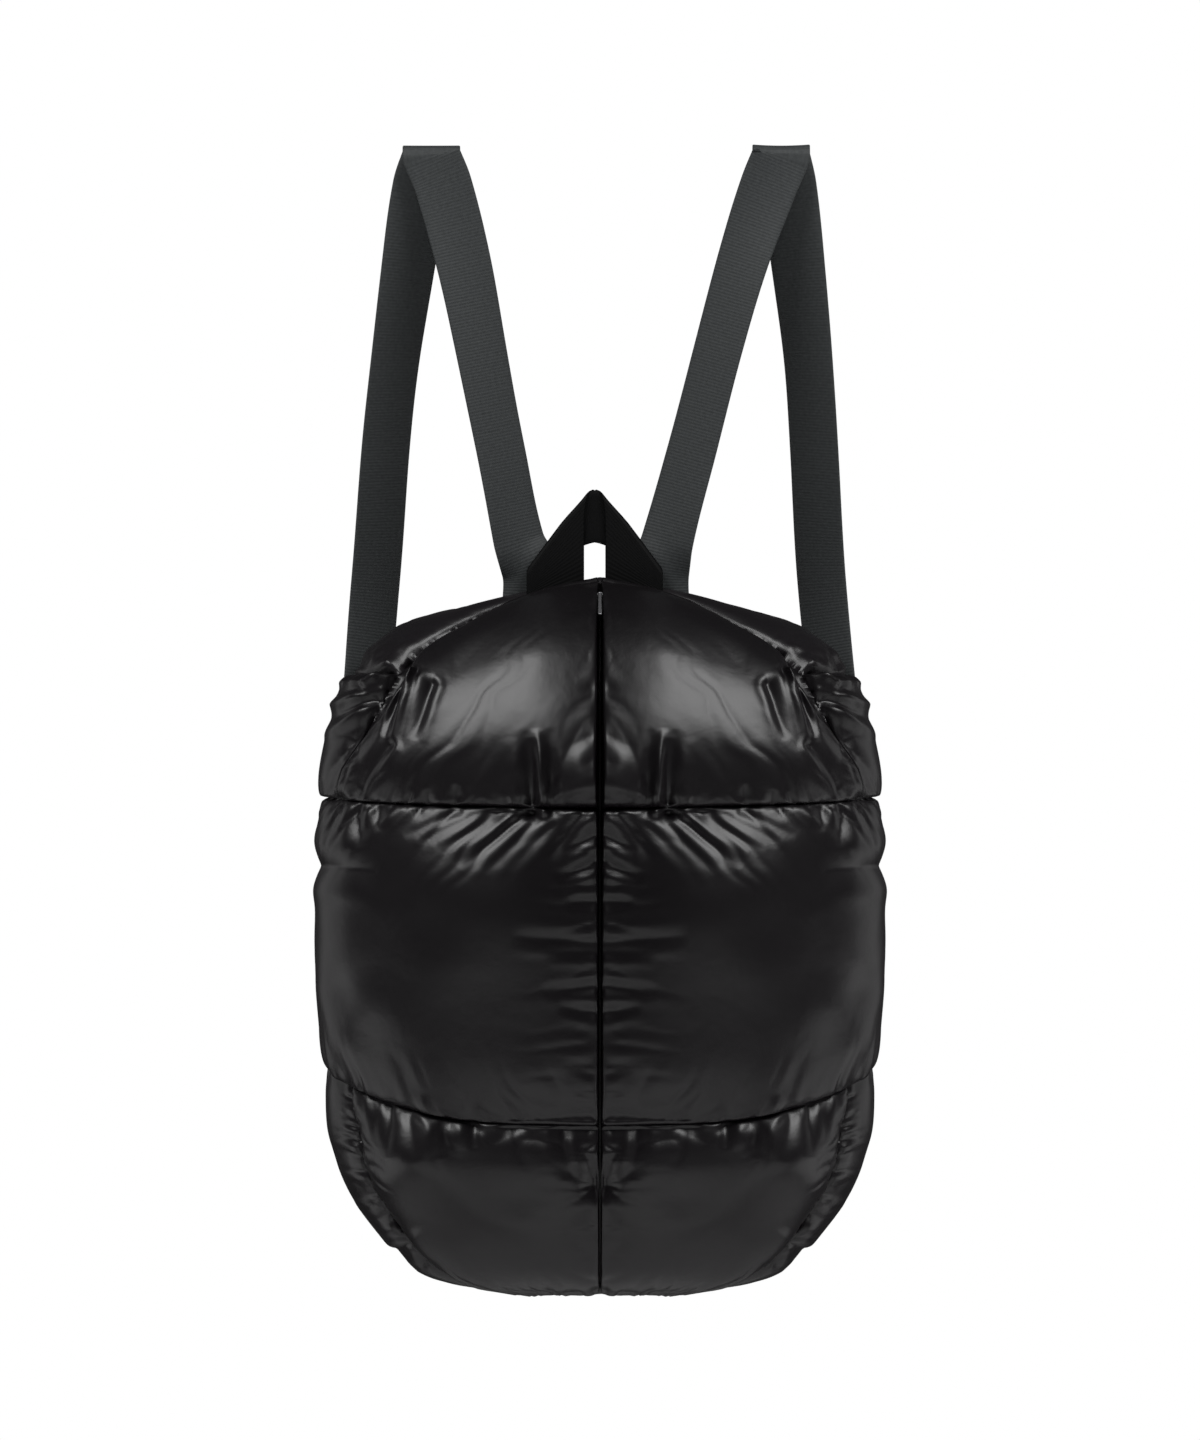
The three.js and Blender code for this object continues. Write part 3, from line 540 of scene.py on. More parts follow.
def swell_from_zip(share, peak, flatness):
    """Curls out of the zip's groove, rises to its peak and falls to the far seam."""
    lip = swell(0.5 * np.minimum(share / ZIP_LIP, 1))
    rise = np.sin(math.pi / 2 * np.minimum(share / peak, 1))
    near = mix(rise, lip, LIP_RISE)
    far = swell(0.5 + 0.5 * np.maximum(share - peak, 0) / (1 - peak), flatness)
    return np.where(share < peak, near, far)


def bell(away, reach):
    return np.exp(-((away / reach) ** 2))


def noise(across, up, seed):
    """Smooth noise between -1 and 1 with one bump a unit."""
    lattice = np.random.default_rng(seed).uniform(-1, 1, (LATTICE, LATTICE))
    column, row = np.floor(across).astype(int), np.floor(up).astype(int)
    a, b = across - column, up - row
    a, b = a * a * (3 - 2 * a), b * b * (3 - 2 * b)

    def corner(right, over):
        return lattice[(row + over) % LATTICE, (column + right) % LATTICE]

    lower = mix(corner(0, 0), corner(1, 0), a)
    upper = mix(corner(0, 1), corner(1, 1), a)
    return mix(lower, upper, b)


def gather_height(gather, seed, s, t, width, height):
    """Height of one edge's gathers, in millimetres, where all lengths are in millimetres."""
    along, inwards = {
        "below": (s * width, t * height),
        "above": (s * width, (1 - t) * height),
        "first": (t * height, s * width),
        "last": (t * height, (1 - s) * width),
    }[gather["edge"]]
    pitch, reach = gather["pitch"], gather["reach"]
    wander = noise(along / WANDER_ALONG, inwards / WANDER_INWARDS, seed)
    shifted = along + gather["slant"] * inwards + WANDER * pitch * wander
    crest = np.abs(noise(shifted / pitch, inwards / (CREST_STRETCH * reach), seed + 1))
    finer = np.abs(
        noise(FINER_CREASES * shifted / pitch, inwards / (FINER_STRETCH * reach), seed + 2))
    uneven = noise(shifted / (UNEVEN_PITCH * pitch), np.zeros_like(shifted), seed + 3)
    own_reach = reach * (LEAST_REACH + UNEVEN_REACH * uneven)
    fade = np.exp(-((inwards / own_reach) ** GATHER_FALL))
    fine_fade = np.exp(-((inwards / (FINER_REACH * reach)) ** GATHER_FALL))
    lip = 1 - bell(inwards, SEAM_LIP)
    creases = (CREST_HEIGHT * crest - 1) * fade + FINER_HEIGHT * (2 * finer - 1) * fine_fade
    return gather["deep"] * lip * creases


def one_fold(fold, across, up):
    run = np.array([fold["to_across"] - fold["across"], fold["to_up"] - fold["up"]])
    length = math.hypot(*run)
    ahead = run / length
    place = np.stack([across - fold["across"], up - fold["up"]], -1)
    along = place @ ahead
    side = place[..., 0] * abs(ahead[1]) - place[..., 1] * ahead[0] * np.sign(ahead[1] or 1)
    past = np.maximum(0, np.maximum(-along, along - length))
    taper = np.clip(1 - along / length, 0, 1) ** FOLD_TAPER * np.clip(1 + along / FOLD_START, 0, 1)
    wide = fold["wide"] * np.where(side > 0, 1 + fold["lean"], 1 - 0.5 * fold["lean"])
    away = np.sqrt(side**2 + past**2 + FOLD_EDGE**2) - FOLD_EDGE
    bulge = BULGE * bell(away - BESIDE_FOLD * wide, BULGE_WIDTH * wide)
    return fold["deep"] * taper * (bulge - np.exp(-away / wide))


def one_hollow(hollow, seed, across, up):
    right, over = across - hollow["across"], up - hollow["up"]
    depth = hollow["deep"] * bell(np.hypot(right, over / hollow["tall"]), hollow["reach"])
    away = np.hypot(right, over)
    wander = noise(away / PLEAT_WANDER, np.zeros_like(away), seed)
    turn = np.arctan2(over, right) + PLEAT_TURN * wander
    crest = np.abs(np.sin(hollow["pleats"] * turn / 2 + PLEAT_BUNCHING * np.sin(2 * turn)))
    fade = np.exp(-away / hollow["pleat_reach"]) * (1 - bell(away, PLEAT_START))
    return hollow["pleat"] * (PLEAT_CREST * crest - 1) * fade - depth


def fold_height(across, up):
    """Height of the front's folds and hollows at places seen from the front, in millimetres."""
    height = sum(one_fold(fold, across, up) for fold in FRONT_FOLDS)
    for seed, hollow in enumerate(FRONT_HOLLOWS, start=HOLLOW_SEED):
        height += one_hollow(hollow, seed, across, up)
    return height


def grid_piece(columns, rows):
    """A flat grid, with the share of its width and of its height at each of its points."""
    bm = bmesh.new()
    bmesh.ops.create_grid(bm, x_segments=columns, y_segments=rows, size=0.5)
    bm.verts.ensure_lookup_table()
    shares = np.array([(v.co.x + 0.5, v.co.y + 0.5) for v in bm.verts])
    return bm, shares


def panel_shape(name):
    """The seam surface of a panel, with the size of its middle in metres."""
    surface = SURFACES[name]
    width = float(length_of(lambda share: surface(share, 0.5)))
    height = float(length_of(lambda share: surface(0.5, share)))
    first = 0
    if name.startswith("front"):
        near = np.linspace(0, ZIP_SEARCH, 200)
        first = float(np.interp(ZIP_HALF, -surface(near, 0.5)[:, 0], near))
    return (lambda s, t: surface(mix(first, 1, s), t)), width, height


def start_places(surface, spec, sizes, s, t):
    """Places of a panel's cloth before it is filled, with its seam surface and normals."""
    base = surface(s, t)
    normal = outward(surface, s, t)
    peak = spec["peak"]
    across = swell_from_zip(s, peak, spec["flatness"]) if peak else swell(s, spec["flatness"])
    corner_side = s > 0.5 if peak else s < 0.5
    joined = spec["joined"] * np.clip(JOINED_FLAT - JOINED_FADE * t, 0, 1)
    swelling = np.maximum(across, joined * corner_side) * swell(t**LOW_SWELL)
    outer = base + normal * (spec["crown"] * sizes.start_swell * swelling)[..., None]
    return base, normal, swelling, outer


def panel_cloth(name, spec, sizes, seed):
    """The outer cloth of a panel before it is filled."""
    surface, width, height = panel_shape(name)
    columns = max(LEAST_CELLS, round(width / sizes.cloth_step))
    rows = max(LEAST_CELLS, round(height / sizes.cloth_step))
    bm, shares = grid_piece(columns, rows)
    s, t = shares[:, 0], shares[:, 1]
    _, normal, swelling, outer = start_places(surface, spec, sizes, s, t)
    ripple = RIPPLE_HEIGHT * noise(s * width / RIPPLE_LENGTH, t * height / RIPPLE_LENGTH, seed)
    for vert, place in zip(bm.verts, outer + normal * (ripple * swelling)[:, None]):
        vert.co = place
    face_outwards(bm, normal)
    edge = (s < 1e-6) | (s > 1 - 1e-6) | (t < 1e-6) | (t > 1 - 1e-6)
    mesh = bpy.data.meshes.new("cloth_piece")
    bm.to_mesh(mesh)
    bm.free()
    order = np.rint(t * rows).astype(int) * (columns + 1) + np.rint(s * columns).astype(int)
    return {"name": name, "mesh": mesh, "edge": edge, "outer": outer, "order": order,
            "size": (rows + 1, columns + 1)}


def to_other_side(bm):
    """Mirrors a piece from the left side of the bag to the right."""
    bmesh.ops.scale(bm, vec=(-1, 1, 1), verts=bm.verts[:])
    bmesh.ops.reverse_faces(bm, faces=bm.faces[:])
    return bm


def face_outwards(bm, normal):
    bm.normal_update()
    bm.faces.ensure_lookup_table()
    middle = bm.faces[len(bm.faces) // 2]
    if middle.normal.dot(Vector(normal[middle.verts[0].index])) < 0:
        bmesh.ops.reverse_faces(bm, faces=bm.faces[:])


CLOTH = {
    "quality": 6,
    "mass": 0.01,
    "tension_stiffness": 20,
    "compression_stiffness": 20,
    "shear_stiffness": 5,
    "tension_damping": 5,
    "compression_damping": 5,
    "air_damping": 1,
    "pin_stiffness": 1,
    "shrink_min": 0,
    "use_pressure": True,
}


def fill_cloth(cloths, sizes):
    """Blows up every panel's cloth between its pinned seams, and notes how far its points move."""
    joined = bmesh.new()
    counts = []
    for cloth in cloths:
        joined.from_mesh(cloth["mesh"])
        counts.append(len(cloth["mesh"].vertices))
    whole = bpy.data.meshes.new("cloth")
    joined.to_mesh(whole)
    joined.free()
    body = bpy.data.objects.new("cloth", whole)
    bpy.context.scene.collection.objects.link(body)
    held = body.vertex_groups.new(name="held")
    edge = np.concatenate([cloth["edge"] for cloth in cloths])
    held.add(np.flatnonzero(edge).tolist(), 1.0, "ADD")
    spare = body.vertex_groups.new(name="spare")
    most = max(PANELS[cloth["name"]]["spare"] for cloth in cloths)
    start = 0
    for cloth, count in zip(cloths, counts):
        spare.add(list(range(start, start + count)), PANELS[cloth["name"]]["spare"] / most, "ADD")
        start += count
    modifier = body.modifiers.new("filling", "CLOTH")
    settings = modifier.settings
    for setting, value in CLOTH.items():
        setattr(settings, setting, value)
    settings.bending_stiffness = sizes.stiffness
    settings.vertex_group_mass = held.name
    settings.vertex_group_shrink = spare.name
    settings.shrink_max = -most
    settings.uniform_pressure_force = sizes.filling
    settings.effector_weights.gravity = 0
    modifier.collision_settings.use_collision = False
    modifier.collision_settings.use_self_collision = False
    modifier.point_cache.frame_end = sizes.filling_frames
    scene = bpy.context.scene
    for frame_number in range(1, sizes.filling_frames + 1):
        scene.frame_set(frame_number)
    evaluated = body.evaluated_get(bpy.context.evaluated_depsgraph_get())
    places = np.zeros(len(whole.vertices) * 3, np.float32)
    evaluated.data.vertices.foreach_get("co", places)
    places = places.reshape(-1, 3)
    start = 0
    for cloth, count in zip(cloths, counts):
        away = places[start:start + count] - cloth["outer"]
        reach = np.linalg.norm(away, axis=1, keepdims=True)
        away = away * np.minimum(reach, sizes.filling_reach) / np.maximum(reach, 1e-9)
        grid = np.zeros_like(away)
        grid[cloth["order"]] = away
        cloth["away"] = smoothed(grid.reshape(*cloth["size"], 3), sizes.smoothing)
        start += count
    scene.frame_set(1)
    bpy.data.objects.remove(body)
    bpy.data.meshes.remove(whole)


def smoothed(grid, passes):
    """A grid of movements with its finest ripples taken out and its border left in place."""
    for _ in range(passes):
        sides = grid[1:-1, :-2] + grid[1:-1, 2:] + grid[:-2, 1:-1] + grid[2:, 1:-1]
        grid[1:-1, 1:-1] = (2 * grid[1:-1, 1:-1] + sides) / 6
    return grid


def smooth_weights(count, at):
    """Weights that read evenly spaced values at shares from 0 to 1, on a smooth curve."""
    place = np.clip(at, 0, 1) * (count - 1)
    index = np.minimum(place.astype(int), count - 2)
    a = place - index
    parts = [
        (-a + 2 * a**2 - a**3) / 2,
        (2 - 5 * a**2 + 3 * a**3) / 2,
        (a + 4 * a**2 - 3 * a**3) / 2,
        (a**3 - a**2) / 2,
    ]
    weights = np.zeros((len(at), count))
    for offset, part in zip((-1, 0, 1, 2), parts):
        np.add.at(weights, (np.arange(len(at)), np.clip(index + offset, 0, count - 1)), part)
    return weights


def panel_relief(name, place, shares, size, crumple, seed):
    """Height of a panel's gathers, folds and dents, in millimetres."""
    spec = PANELS[name]
    s, t = shares
    width, height = size
    relief = np.zeros_like(s)
    gathers = [gather for gather in GATHERS if gather["panel"] == spec["gathers"]]
    for index, gather in enumerate(gathers):
        own_seed = seed * SEEDS_A_PANEL + index * SEEDS_A_GATHER
        relief += gather_height(gather, own_seed, s, t, width / MM, height / MM)
    if name.startswith(FOLDED):
        relief += fold_height(np.abs(place[:, 0]), place[:, 2])
    dents = noise(s * width / CRUMPLE_WIDTH, t * height / CRUMPLE_HEIGHT, seed + 5)
    relief += crumple / MM * dents
    near_room, seam_room = s * width / MM, np.minimum(t, 1 - t) * height / MM
    far_room = np.minimum((1 - s) * width / MM, seam_room)
    if not spec["peak"]:
        return relief * (1 - bell(np.minimum(near_room, far_room), SEAM_LIP))
    relief *= (1 - bell(near_room, ZIP_FADE)) * (1 - bell(far_room, SEAM_LIP))
    beside = np.clip((SHALLOW_TO - np.abs(place[:, 0])) / SHALLOW_FADE, 0, 1)
    shallow = beside * bell(seam_room, SHALLOW_REACH) * np.minimum(1, s / ZIP_LIP)
    return relief + SHALLOW_LIFT * shallow


def padded_panel(cloth, sizes, seed):
    """A finished padded panel: its filled and gathered cloth, and the lining on its inside."""
    name = cloth["name"]
    spec = PANELS[name]
    surface, width, height = panel_shape(name)
    columns, rows = round(width / spec["cell"]), round(height / spec["cell"])
    bm, even = grid_piece(columns, rows)
    crowded = CROWDED if spec["peak"] else 1
    s, t = even[:, 0] ** crowded, even[:, 1]
    base, normal, swelling, outer = start_places(surface, spec, sizes, s, t)
    if "away" in cloth:
        across = smooth_weights(cloth["size"][1], np.linspace(0, 1, columns + 1) ** crowded)
        up = smooth_weights(cloth["size"][0], np.linspace(0, 1, rows + 1))
        away = np.einsum("ij,jkc,lk->ilc", up, cloth["away"], across)
        away = away[np.rint(t * rows).astype(int), np.rint(even[:, 0] * columns).astype(int)]
        valley = np.minimum(1, s / spec["peak"]) if spec["peak"] else np.ones_like(s)
        outer = outer + away * valley[:, None]
    place = (base - BAG_PLACE) / MM
    relief = panel_relief(name, place, (s, t), (width, height), sizes.crumple, seed)
    outer = outer + normal * (relief * MM)[:, None]
    below = t * height / MM / DROOP_REACH
    sideways = np.clip((np.abs(place[:, 0]) - DROOP_FROM) / DROOP_FADE, 0, 1)
    outer[:, 2] -= spec["droop"] * sideways * below * np.exp(1 - below) * swell(s)
    lining = base - normal * (INNER_CROWN * swelling)[:, None]
    uv = bm.loops.layers.uv.new("cut")
    for face in bm.faces:
        face.smooth = True
        for loop in face.loops:
            index = loop.vert.index
            loop[uv].uv = (s[index] * width, t[index] * height)
    for vert, spot in zip(bm.verts, outer):
        vert.co = spot
    face_outwards(bm, normal)
    add_lining(bm, lining)
    return bm


def add_lining(bm, lining):
    """Copies a panel's cloth to the places of its lining, and closes the two along their edges."""
    border = [edge for edge in bm.edges if edge.is_boundary]
    copied = bmesh.ops.duplicate(bm, geom=bm.verts[:] + bm.edges[:] + bm.faces[:])["geom"]
    for vert, spot in zip([item for item in copied if isinstance(item, bmesh.types.BMVert)], lining):
        vert.co = spot
    faces = [item for item in copied if isinstance(item, bmesh.types.BMFace)]
    bmesh.ops.reverse_faces(bm, faces=faces)
    edges = [item for item in copied if isinstance(item, bmesh.types.BMEdge) and item.is_boundary]
    bmesh.ops.bridge_loops(bm, edges=border + edges)


def finish_object(name, bm, material, nodes):
    mesh = bpy.data.meshes.new(name)
    bm.to_mesh(mesh)
    bm.free()
    mesh.materials.append(material)
    piece = bpy.data.objects.new(name, mesh)
    bpy.context.scene.collection.objects.link(piece)
    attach(piece, "root")
    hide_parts(*nodes)
    return piece


# Webbing: the shoulder straps and the grab handle

WEBBING_WIDTH = 38 * MM
WEBBING_THICKNESS = 1.6 * MM
RING_SPANS = 10
RING_TURNS = 4
RAIL_RADIUS = 5.8 * MM
STRAP_SET_BACK = 12 * MM
STRAP_SUNK = 4 * MM

# Rise is a share of the height from the bag's top to the rail, left and right of the half width for
# each strap, back of the half depth behind the rail, and twist turns the band about its own length,
# in degrees.
STRAP_FRONT = make_table(
    "rise left right left_twist right_twist",
    (0.015, 0.242, 0.212, 3, 3),
    (0.095, 0.285, 0.238, 28, 25),
    (0.31, 0.349, 0.322, 33, 32),
    (0.55, 0.42, 0.417, 28, 33),
    (0.76, 0.484, 0.505, 17, 26),
    (0.93, 0.55, 0.593, 5, 8),
)
STRAP_RAIL = {"left": 0.592, "right": 0.636}
STRAP_BEHIND = make_table(
    "rise left right back twist",
    (0.93, 0.628, 0.66, 0.015, 8),
    (0.73, 0.677, 0.699, 0.09, 22),
    (0.52, 0.722, 0.733, 0.2, 33),
    (0.3, 0.756, 0.757, 0.33, 34),
    (0, 0.79, 0.78, 0.47, 33),
)
RAIL_STEPS = 10
CUPS = ((0.5 * MM, 60 * MM), (0.3 * MM, 23 * MM))  # depths and lengths of the band's slow cupping

# The straps' run down the back corner of the bag. Height is a share of the way up from the seam
# that holds their ends to the shoulder, and stand is how far they stand off the seam surface.
STRAP_ANGLE = 122
STRAP_RUN = make_table(
    "height stand",
    (0.9, 15 * MM),
    (0.7, 14 * MM),
    (0.45, 13.5 * MM),
    (0.2, 13.5 * MM),
    (0.09, 12.5 * MM),
    (0.0, 3 * MM),
)

LEFT_SEED = 3
RIGHT_SEED = 4

HANDLE_SPREAD = 52 * MM
HANDLE_SHIFT = -3.5 * MM
HANDLE_TILT = 0.14
HANDLE_LEG_RISE = 1.5 * MM
HANDLE_SLANT = math.radians(54)
HANDLE_FOLD_RADIUS = 1.7 * MM
HANDLE_SET_BACK = 2.2 * MM
HANDLE_SUNK = 8 * MM
HANDLE_ARCH = 5 * MM
HANDLE_NARROWING = 24 * MM
HANDLE_PINCH = 0.4


def webbing_ring(spans, turns):
    """Places across and through the webbing, once round its rounded outline."""
    radius = WEBBING_THICKNESS / 2
    flat = WEBBING_WIDTH / 2 - radius
    across = [mix(-flat, flat, index / spans) for index in range(spans)]
    through = [-radius] * spans
    for side in (1, -1):
        for index in range(turns):
            turn = math.pi * index / turns - math.pi / 2
            across.append(side * (flat + radius * math.cos(turn)))
            through.append(side * radius * math.sin(turn))
        if side == 1:
            across += [mix(flat, -flat, index / spans) for index in range(spans)]
            through += [radius] * spans
    return np.array(across + across[:1]), np.array(through + through[:1])


def skinned(points, lengths, across):
    """A closed band through rings of points, with its own length and width as its UV map."""
    stations, around = points.shape[:2]
    bm, shares = grid_piece(stations - 1, around - 1)
    rows = np.rint(shares[:, 0] * (stations - 1)).astype(int)
    columns = np.rint(shares[:, 1] * (around - 1)).astype(int)
    uv = bm.loops.layers.uv.new("cut")
    for face in bm.faces:
        for loop in face.loops:
            index = loop.vert.index
            loop[uv].uv = (across[columns[index]], lengths[rows[index]])
        face.smooth = True
    for vert, row, column in zip(bm.verts, rows, columns):
        vert.co = points[row, column]
    bmesh.ops.remove_doubles(bm, verts=bm.verts[:], dist=1e-6)
    ends = [edge for edge in bm.edges if edge.is_boundary]
    bmesh.ops.holes_fill(bm, edges=ends, sides=around)
    bmesh.ops.recalc_face_normals(bm, faces=bm.faces[:])
    return bm


def front_edge_place(across):
    return edge_point(read(FRONT_EDGE, "across", across / HALF_WIDTH))


def strap_route(side):
    """Places and twists along a strap, from its sewn end over the rail to its lower end."""
    top = BAG_HEIGHT - RAIL_HEIGHT
    sewn = front_edge_place(STRAP_FRONT[0][side] * HALF_WIDTH)
    sewn += np.array([0, STRAP_SET_BACK, -STRAP_SUNK])
    route = [(*sewn, STRAP_FRONT[0][f"{side}_twist"])]
    for row in STRAP_FRONT:
        back = mix(sewn[1], -RAIL_RADIUS, row["rise"])
        place = (-row[side] * HALF_WIDTH, back, top * (1 - row["rise"]))
        route.append((*place, row[f"{side}_twist"]))
    for index in range(RAIL_STEPS + 1):
        turn = math.pi * index / RAIL_STEPS
        back, rise = -RAIL_RADIUS * math.cos(turn), RAIL_RADIUS * math.sin(turn)
        route.append((-STRAP_RAIL[side] * HALF_WIDTH, back, rise, 0))
    for row in STRAP_BEHIND:
        back = RAIL_RADIUS + row["back"] * HALF_DEPTH
        route.append((-row[side] * HALF_WIDTH, back, top * (1 - row["rise"]), row["twist"]))
    low = float(seam_at(STRAP_ANGLE, "low"))
    for row in STRAP_RUN:
        level = np.array(mix(low, SHOULDER_HEIGHT, row["height"]))
        out = outward(whole_bag, np.array(STRAP_ANGLE / (2 * HALF_TURN)), level)
        place = on_bag(STRAP_ANGLE, level) + out * row["stand"]
        route.append((*place, math.degrees(math.atan2(-out[0], out[1]))))
    return np.array(route, float)


def shoulder_strap(side, sizes, seed):
    route = strap_route(side)
    steps = np.linalg.norm(np.diff(route[:, :3], axis=0), axis=1)
    marks = np.concatenate([[0], np.cumsum(steps)])
    rows = make_table("mark x y z twist", *np.column_stack([marks, route]))
    count = round(marks[-1] / sizes.webbing_step)
    at = np.linspace(0, marks[-1], count + 1)
    values = read(rows, "mark", at)
    middle = np.stack([values["x"], values["y"], values["z"]], -1)
    along = np.gradient(middle, at, axis=0)
    along /= np.linalg.norm(along, axis=1, keepdims=True)
    twist = np.radians(values["twist"])
    sideways = np.stack([np.cos(twist), np.sin(twist), np.zeros_like(twist)], -1)
    sideways -= along * (sideways * along).sum(1, keepdims=True)
    sideways /= np.linalg.norm(sideways, axis=1, keepdims=True)
    through = np.cross(along, sideways)
    across, thick = webbing_ring(RING_SPANS, RING_TURNS)
    wander = np.random.default_rng(seed).uniform(0, math.tau, 2)
    cup = sum(deep * np.sin(at / reach + start) for (deep, reach), start in zip(CUPS, wander))
    bowed = thick[None, :] + cup[:, None] * (2 * across / WEBBING_WIDTH)[None, :] ** 2
    points = (
        middle[:, None, :]
        + sideways[:, None, :] * across[None, :, None]
        + through[:, None, :] * bowed[..., None]
    )
    return skinned(points, at, across)


def folded_webbing(leg, q, p, offset):
    """Where a place of the handle's flat left leg lies once the leg is folded back."""
    half = WEBBING_WIDTH / 2
    lean, climb = math.cos(HANDLE_SLANT), math.sin(HANDLE_SLANT)
    start = BAG_HEIGHT - RAIL_HEIGHT + HANDLE_LEG_RISE
    along = (q + half) * lean + (p - start) * climb
    past = (p - start) * lean - (q + half) * climb
    turn = np.clip(past / HANDLE_FOLD_RADIUS, 0, math.pi)
    radius = HANDLE_FOLD_RADIUS + offset
    bend = math.pi * HANDLE_FOLD_RADIUS
    rest = np.where(past < 0, past, np.minimum(0, bend - past))
    reach = rest + radius * np.sin(turn)
    x = leg[0] - half + along * lean - reach * climb
    y = leg[1] + HANDLE_FOLD_RADIUS - radius * np.cos(turn)
    z = start + along * climb + reach * lean
    return np.stack([x, y, z], -1)


def middle_lengths(outer, inner):
    """Distances from the start of the webbing, down its middle, by the places of its two edges."""
    return np.concatenate([[0], np.cumsum(np.abs(np.diff((outer + inner) / 2)))])


def grab_handle(sizes):
    half = WEBBING_WIDTH / 2
    leg = front_edge_place(HANDLE_SPREAD / 2) + np.array([0, HANDLE_SET_BACK, 0])
    start = BAG_HEIGHT - RAIL_HEIGHT + HANDLE_LEG_RISE
    foot = leg[2] - HANDLE_SUNK
    bend = math.pi * HANDLE_FOLD_RADIUS
    slant_rise = WEBBING_WIDTH * math.tan(HANDLE_SLANT)
    bent = start + bend / math.cos(HANDLE_SLANT)
    double = 2 * HANDLE_SLANT

    def to_middle(q):
        reach = half - leg[0] - (q + half) * math.cos(double) + bend * math.sin(HANDLE_SLANT)
        return start + reach / math.sin(double)

    outer = [foot, start, bent, to_middle(-half)]
    inner = [foot, start + slant_rise, bent + slant_rise, to_middle(half)]
    keys = middle_lengths(np.array(outer), np.array(inner))
    count = 2 * round(keys[-1] / sizes.webbing_step)
    share = np.linspace(-1, 1, count + 1)
    at = (1 - np.abs(share)) * keys[-1]
    outer_edge, inner_edge = np.interp(at, keys, outer), np.interp(at, keys, inner)
    across, thick = webbing_ring(RING_SPANS, RING_TURNS)
    share_in = (across[None, :] + half) / WEBBING_WIDTH
    flat_up = mix(outer_edge[:, None], inner_edge[:, None], share_in)
    points = folded_webbing(leg, across[None, :], flat_up, -thick[None, :])
    points[..., 0] *= np.where(share > 0, -1, 1)[:, None]
    middle = np.abs(points[..., 0])
    rise = math.tan(double - math.pi / 2)
    near_middle = (at / keys[-1])[:, None] ** 4
    points[..., 2] += rise * (middle - np.sqrt(middle**2 + HANDLE_ARCH**2)) * near_middle
    top = points[..., 2].max(axis=1, keepdims=True)
    points[..., 2] = top - (top - points[..., 2]) * (1 - HANDLE_TILT * near_middle)
    near_top = np.clip(1 - (points[..., 2].max() - points[..., 2]) / HANDLE_NARROWING, 0, 1)
    points[..., 0] *= 1 - HANDLE_PINCH * near_top**2
    points[..., 0] += HANDLE_SHIFT
    return skinned(points, middle_lengths(outer_edge, inner_edge), across)


# Zip

ZIP_STATIONS = 14
ZIP_RISE_STATIONS = 12
ZIP_SAMPLES = 400
ZIP_REACH = 2 * MM  # distance each way over which the zip's direction is taken
TAPE_WIDTH = 10 * MM
TAPE_THICKNESS = 0.6 * MM
TAPE_DEPTH = 2.4 * MM
TAPE_START = 3 * MM
TAPE_END = 8 * MM
TAPE_CELLS = 160
COIL_START = 4 * MM
COIL_END = 8 * MM
COIL_WIDTH = 3 * MM
COIL_WIRE = 0.9 * MM
COIL_PITCH = 1.6 * MM
COIL_DEPTH = 1.6 * MM
TOOTH = 0.62  # share of the coil's width that one tooth covers, and of its wire along the zip
TOOTH_SHIFT = 0.19
SLIDER_FROM_TOP = 31 * MM
SLIDER_LIFT = 3 * MM
SLIDER_SIZE = (3.8 * MM, 7.5 * MM, 1.5 * MM)
SLIDER_ROUNDING = 0.5 * MM
BAIL_WIRE = 0.42 * MM
BAIL_RADIUS = 1.9 * MM
BAIL_RISE = 0.6 * MM
PULLER_LIFT = 4.6 * MM
PULLER_SIDES = 40
PULLER_EYE = 1 * MM
PULLER_HEAD = 1.9 * MM
PULLER_HALF = 1.25 * MM
PULLER_LENGTH = 23 * MM
PULLER_THICKNESS = 1.3 * MM
PULLER_ROUNDING = 0.4 * MM


def zip_route():
    """Places along the zip, up the middle of the front, and their distances from its lower end."""
    share = np.arange(ZIP_STATIONS) / ZIP_STATIONS
    lower = on_bag(0, mix(BASE_HEIGHT, high_of(0), share))
    upper = zip_rise(np.linspace(0, 1, ZIP_RISE_STATIONS))
    fine = curve_through(np.vstack([lower, upper]))(np.linspace(0, 1, ZIP_SAMPLES))
    marks = np.concatenate([[0], np.cumsum(np.linalg.norm(np.diff(fine, axis=0), axis=1))])
    return fine, marks


def on_zip(distance):
    """Place, direction up the zip and direction out of the bag, by distance from its lower end."""
    fine, marks = zip_route()

    def at(value):
        return np.array([np.interp(value, marks, fine[:, axis]) for axis in range(3)]).T

    along = at(distance + ZIP_REACH) - at(distance - ZIP_REACH)
    along /= np.linalg.norm(along, axis=-1, keepdims=True)
    return at(distance), along, np.cross(np.array([1.0, 0, 0]), along)


def upright_on_zip(place, along, out):
    """The movement that stands a small piece at a place of the zip."""
    turn = Matrix([(1, 0, 0), tuple(along), tuple(out)]).transposed().to_4x4()
    turn.translation = place
    return turn


